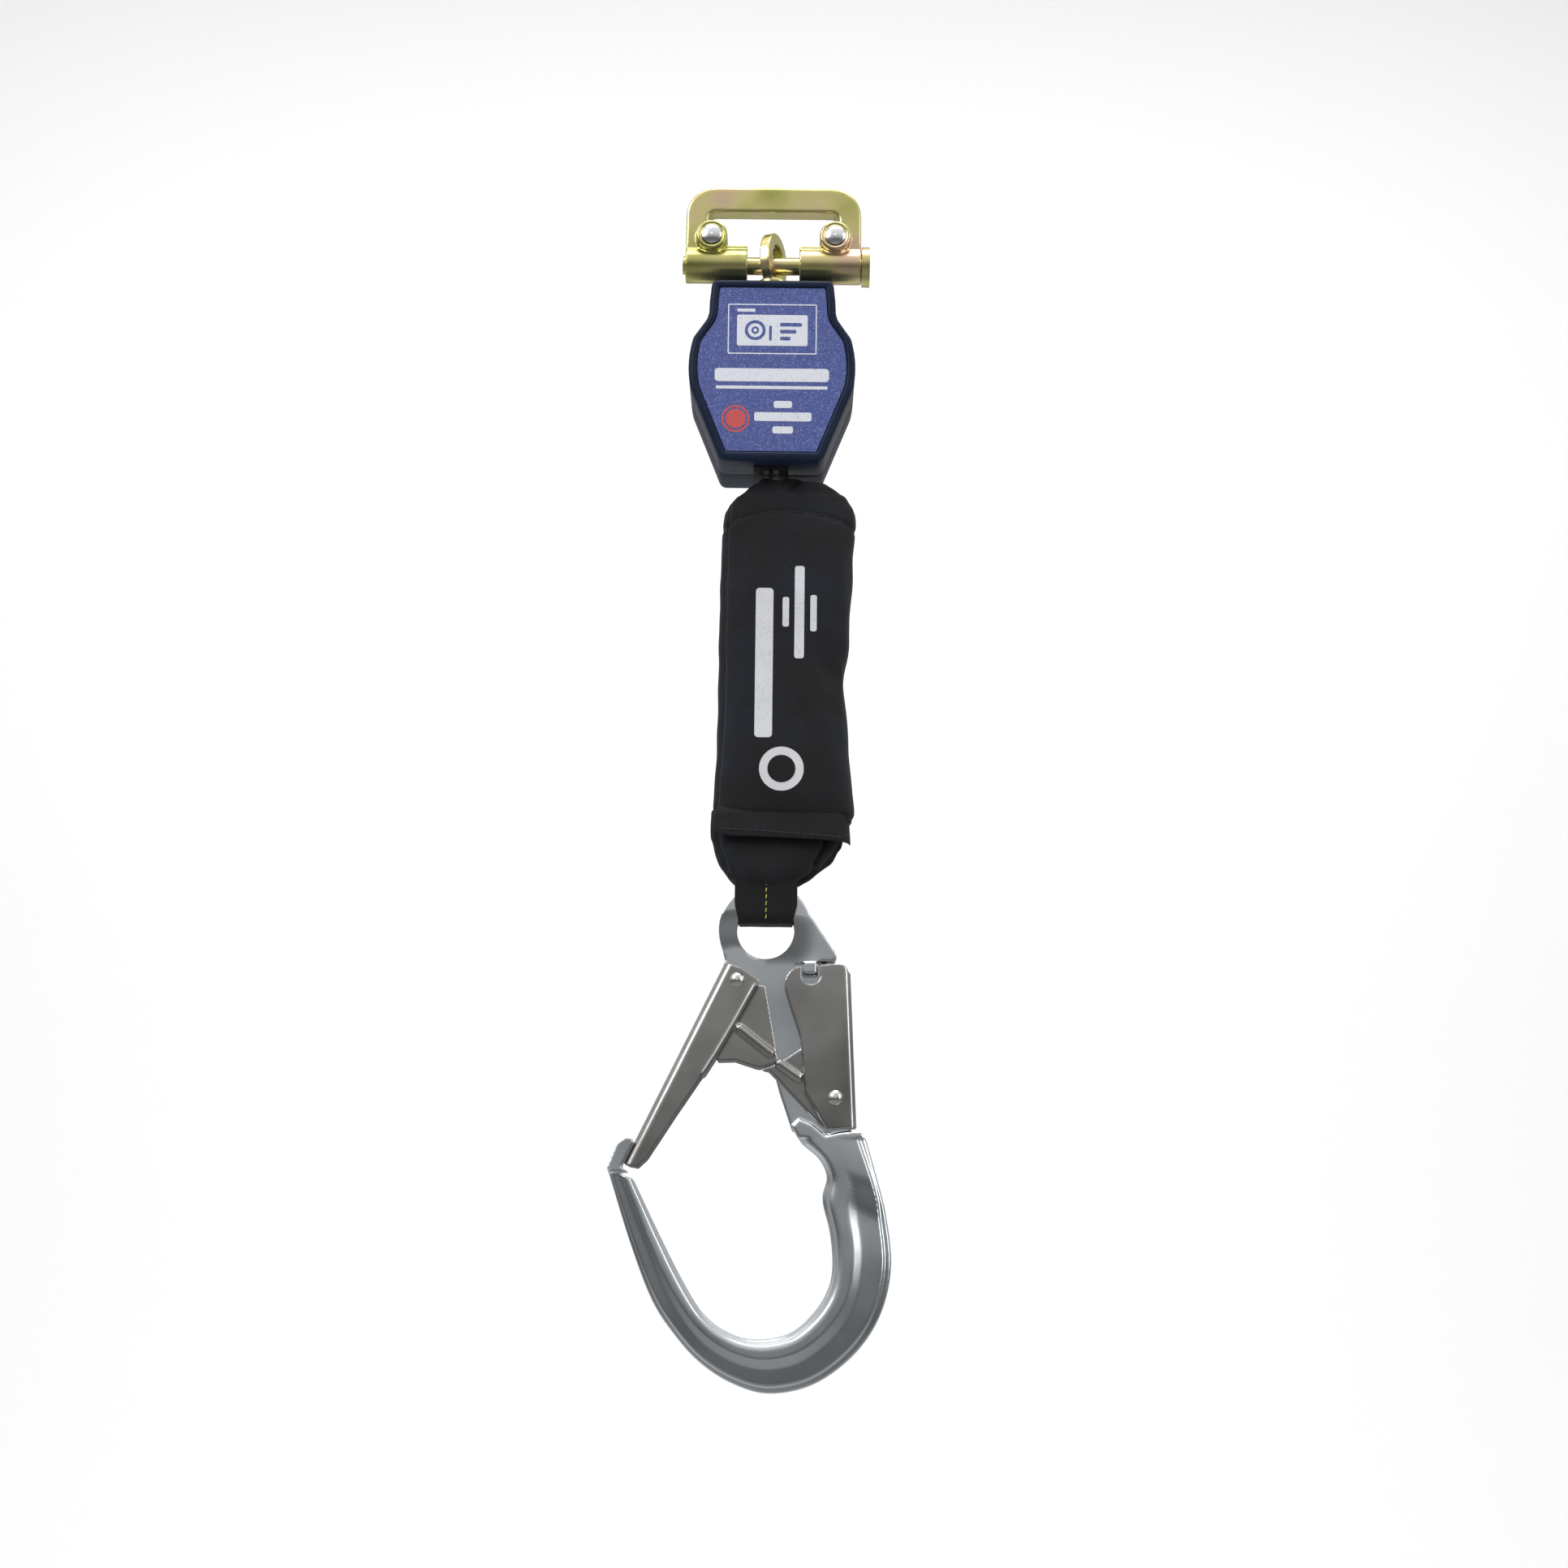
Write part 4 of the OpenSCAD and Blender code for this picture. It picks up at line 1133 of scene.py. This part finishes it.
def add_fabric_print(bm, tree, outline, lift=0.12, cell=1.6):
    """A printed shape that lies on the fabric: its outline is cut into cells and laid down."""
    flat = bmesh.new()
    flat.faces.new([flat.verts.new((p[0], 0, p[1])) for p in outline])
    xs, zs = [p[0] for p in outline], [p[1] for p in outline]
    for low, high, axis in ((min(xs), max(xs), Vector((1, 0, 0))),
                            (min(zs), max(zs), Vector((0, 0, 1)))):
        k = low + cell
        while k < high:
            geometry = flat.verts[:] + flat.edges[:] + flat.faces[:]
            bmesh.ops.bisect_plane(flat, geom=geometry, plane_co=axis * k, plane_no=axis)
            k += cell
    made = {}
    for v in flat.verts:
        p = front_point(tree, v.co.x, v.co.z, lift)
        made[v] = bm.verts.new((p if p is not None else Vector((v.co.x, -13, v.co.z))) * MM)
    for f in flat.faces:
        bm.faces.new([made[v] for v in f.verts])
    flat.free()


def clear_of_pack(sleeve):
    """Keeps the cloth outside the folded absorber pack."""
    left, middle, right = -19.4, 6, 31.8
    bottom, top = -252, -118
    side_depth, face_depth = 10.5, 11.8
    for vertex in sleeve.data.vertices:
        p = vertex.co / MM
        if not bottom < p.z < top:
            continue
        if abs(p.y) < side_depth:
            if middle < p.x < right:
                vertex.co.x = right * MM
            elif left < p.x < middle:
                vertex.co.x = left * MM
        elif left < p.x < right:
            vertex.co.y = math.copysign(max(abs(p.y), face_depth), p.y) * MM


def make_cover(materials):
    fabric = materials["cover_fabric"]
    heights = [-257 + 157.6 * t / 40 for t in range(41)]
    rings = [rounded_section(edge_value(COVER_LEFT, z) + 0.1, edge_value(COVER_RIGHT, z) + 0.1,
                             graph_value(COVER_HALF_DEPTH, z) - 0.9, z) for z in heights]
    sleeve = cloth_form("fabric_sleeve", rings, 4.2, 2.4)
    clear_of_pack(sleeve)
    fabric_finish(sleeve, sleeve_wrinkle)
    tree = fabric_tree(sleeve)
    dress(sleeve, fabric, "cover_fabric", "absorber", "cover_sleeve", "cover_gusset")
    heights = [-283.5 + 35.5 * t / 16 for t in range(17)]
    rings = [rounded_section(edge_value(POUCH_LEFT, z) - 0.2, edge_value(POUCH_RIGHT, z) + 0.2,
                             graph_value(POUCH_HALF_DEPTH, z) - 1.2, z, 56, 2.6) for z in heights]
    pouch = cloth_form("fabric_pouch", rings, 4.0, 2.0)
    fabric_finish(pouch, pouch_wrinkle)
    dress(pouch, fabric, "cover_fabric", None, "cover_pouch")
    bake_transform(pouch)
    make_flap(materials)
    bm = bmesh.new()
    xs = [-17 + 50 * i / 30 for i in range(31)]
    for side in (-1, 1):
        add_stitches(bm, tree, [(x, top_seam_z(x)) for x in xs], side=side)
        add_stitches(bm, tree, [(x, -251.5) for x in xs], side=side)
    add_stitches(bm, tree, [(strip_seam_x(-112 - 4.6 * i), -112 - 4.6 * i) for i in range(30)])
    seams = finish_mesh(bm, "cover_stitches")
    dress(seams, thread_material("black_thread", BLACK_THREAD), "cover_fabric", "absorber")
    bm = bmesh.new()
    for bar in ((-5.8, -219, 1.8, -153, 1.6), (5.8, -170, 8.6, -157, 0.9),
                (11.0, -184, 15.2, -143, 1.1), (17.8, -172, 20.6, -156, 0.9)):
        add_fabric_print(bm, tree, rounded_box(*bar))
    add_fabric_print(bm, tree, arc_points(6.0, -232.6, 9.6, 360, 0, 40)[:-1])
    ink = finish_mesh(bm, "cover_print")
    dress(ink, ink_material("cover_ink", (0.62, 0.63, 0.66)), "cover_fabric", "absorber")
    bm = bmesh.new()
    add_fabric_print(bm, tree, arc_points(6.0, -232.6, 6.0, 360, 0, 32)[:-1], 0.22)
    inner = finish_mesh(bm, "cover_print_middle")
    dress(inner, fabric, "cover_fabric", "absorber")


def make_flap(materials):
    """The front layer's hem, which hangs past the sleeve's end and over the pouch."""
    rows, columns = 14, 72
    bm = bmesh.new()
    grid = []
    for r in range(rows + 1):
        row = []
        t = r / rows
        flare = graph_value([(0, -1.8), (0.35, 0.0), (1, 0.55)], t)
        for c in range(columns + 1):
            s = c / columns
            a = math.pi * (1.19 + 0.78 * s)
            half, depth = 30.0 + flare, 13.4 + flare
            x = 5.2 + half * math.copysign(abs(math.cos(a)) ** 0.45, math.cos(a))
            y = -depth * abs(math.sin(a)) ** 0.45
            bottom = -259.8 - 4.0 * s - 0.9 * math.sin(math.pi * s)
            z = -247.0 + (bottom + 247.0) * t
            y += 0.8 * noise.noise(Vector((x / 8, 3.0, z / 12))) * t
            z += 0.6 * noise.noise(Vector((x / 10, 7.0, 0.3))) * t
            row.append(bm.verts.new(Vector((x, y, z)) * MM))
        grid.append(row)
    for a, b in zip(grid, grid[1:]):
        for c in range(columns):
            bm.faces.new((a[c], a[c + 1], b[c + 1], b[c]))
    flap = finish_mesh(bm, "fabric_flap")
    thick = flap.modifiers.new("thickness", "SOLIDIFY")
    thick.thickness = 0.8 * MM
    thick.offset = 0
    add_subdivision(flap, 1)
    smoothed(apply_modifiers(flap))
    flap_tree = fabric_tree(flap)
    dress(flap, materials["cover_fabric"], "cover_fabric", "absorber", "cover_flap")
    bm = bmesh.new()
    add_stitches(bm, flap_tree, [(-23 + 56 * i / 30, -258.0 - 3.6 * i / 30) for i in range(31)])
    hem = finish_mesh(bm, "flap_stitches")
    dress(hem, thread_material("hem_thread", BLACK_THREAD), "cover_fabric", "absorber")


# ---------------------------------------------------------------- build

make_camera()
make_stage()
make_lights()
MATERIALS = make_materials()
for make in (paint_cad_nodes, make_housing, make_label_print, make_connector, make_hook,
             make_latch, make_webbing, make_cover):
    make(MATERIALS)
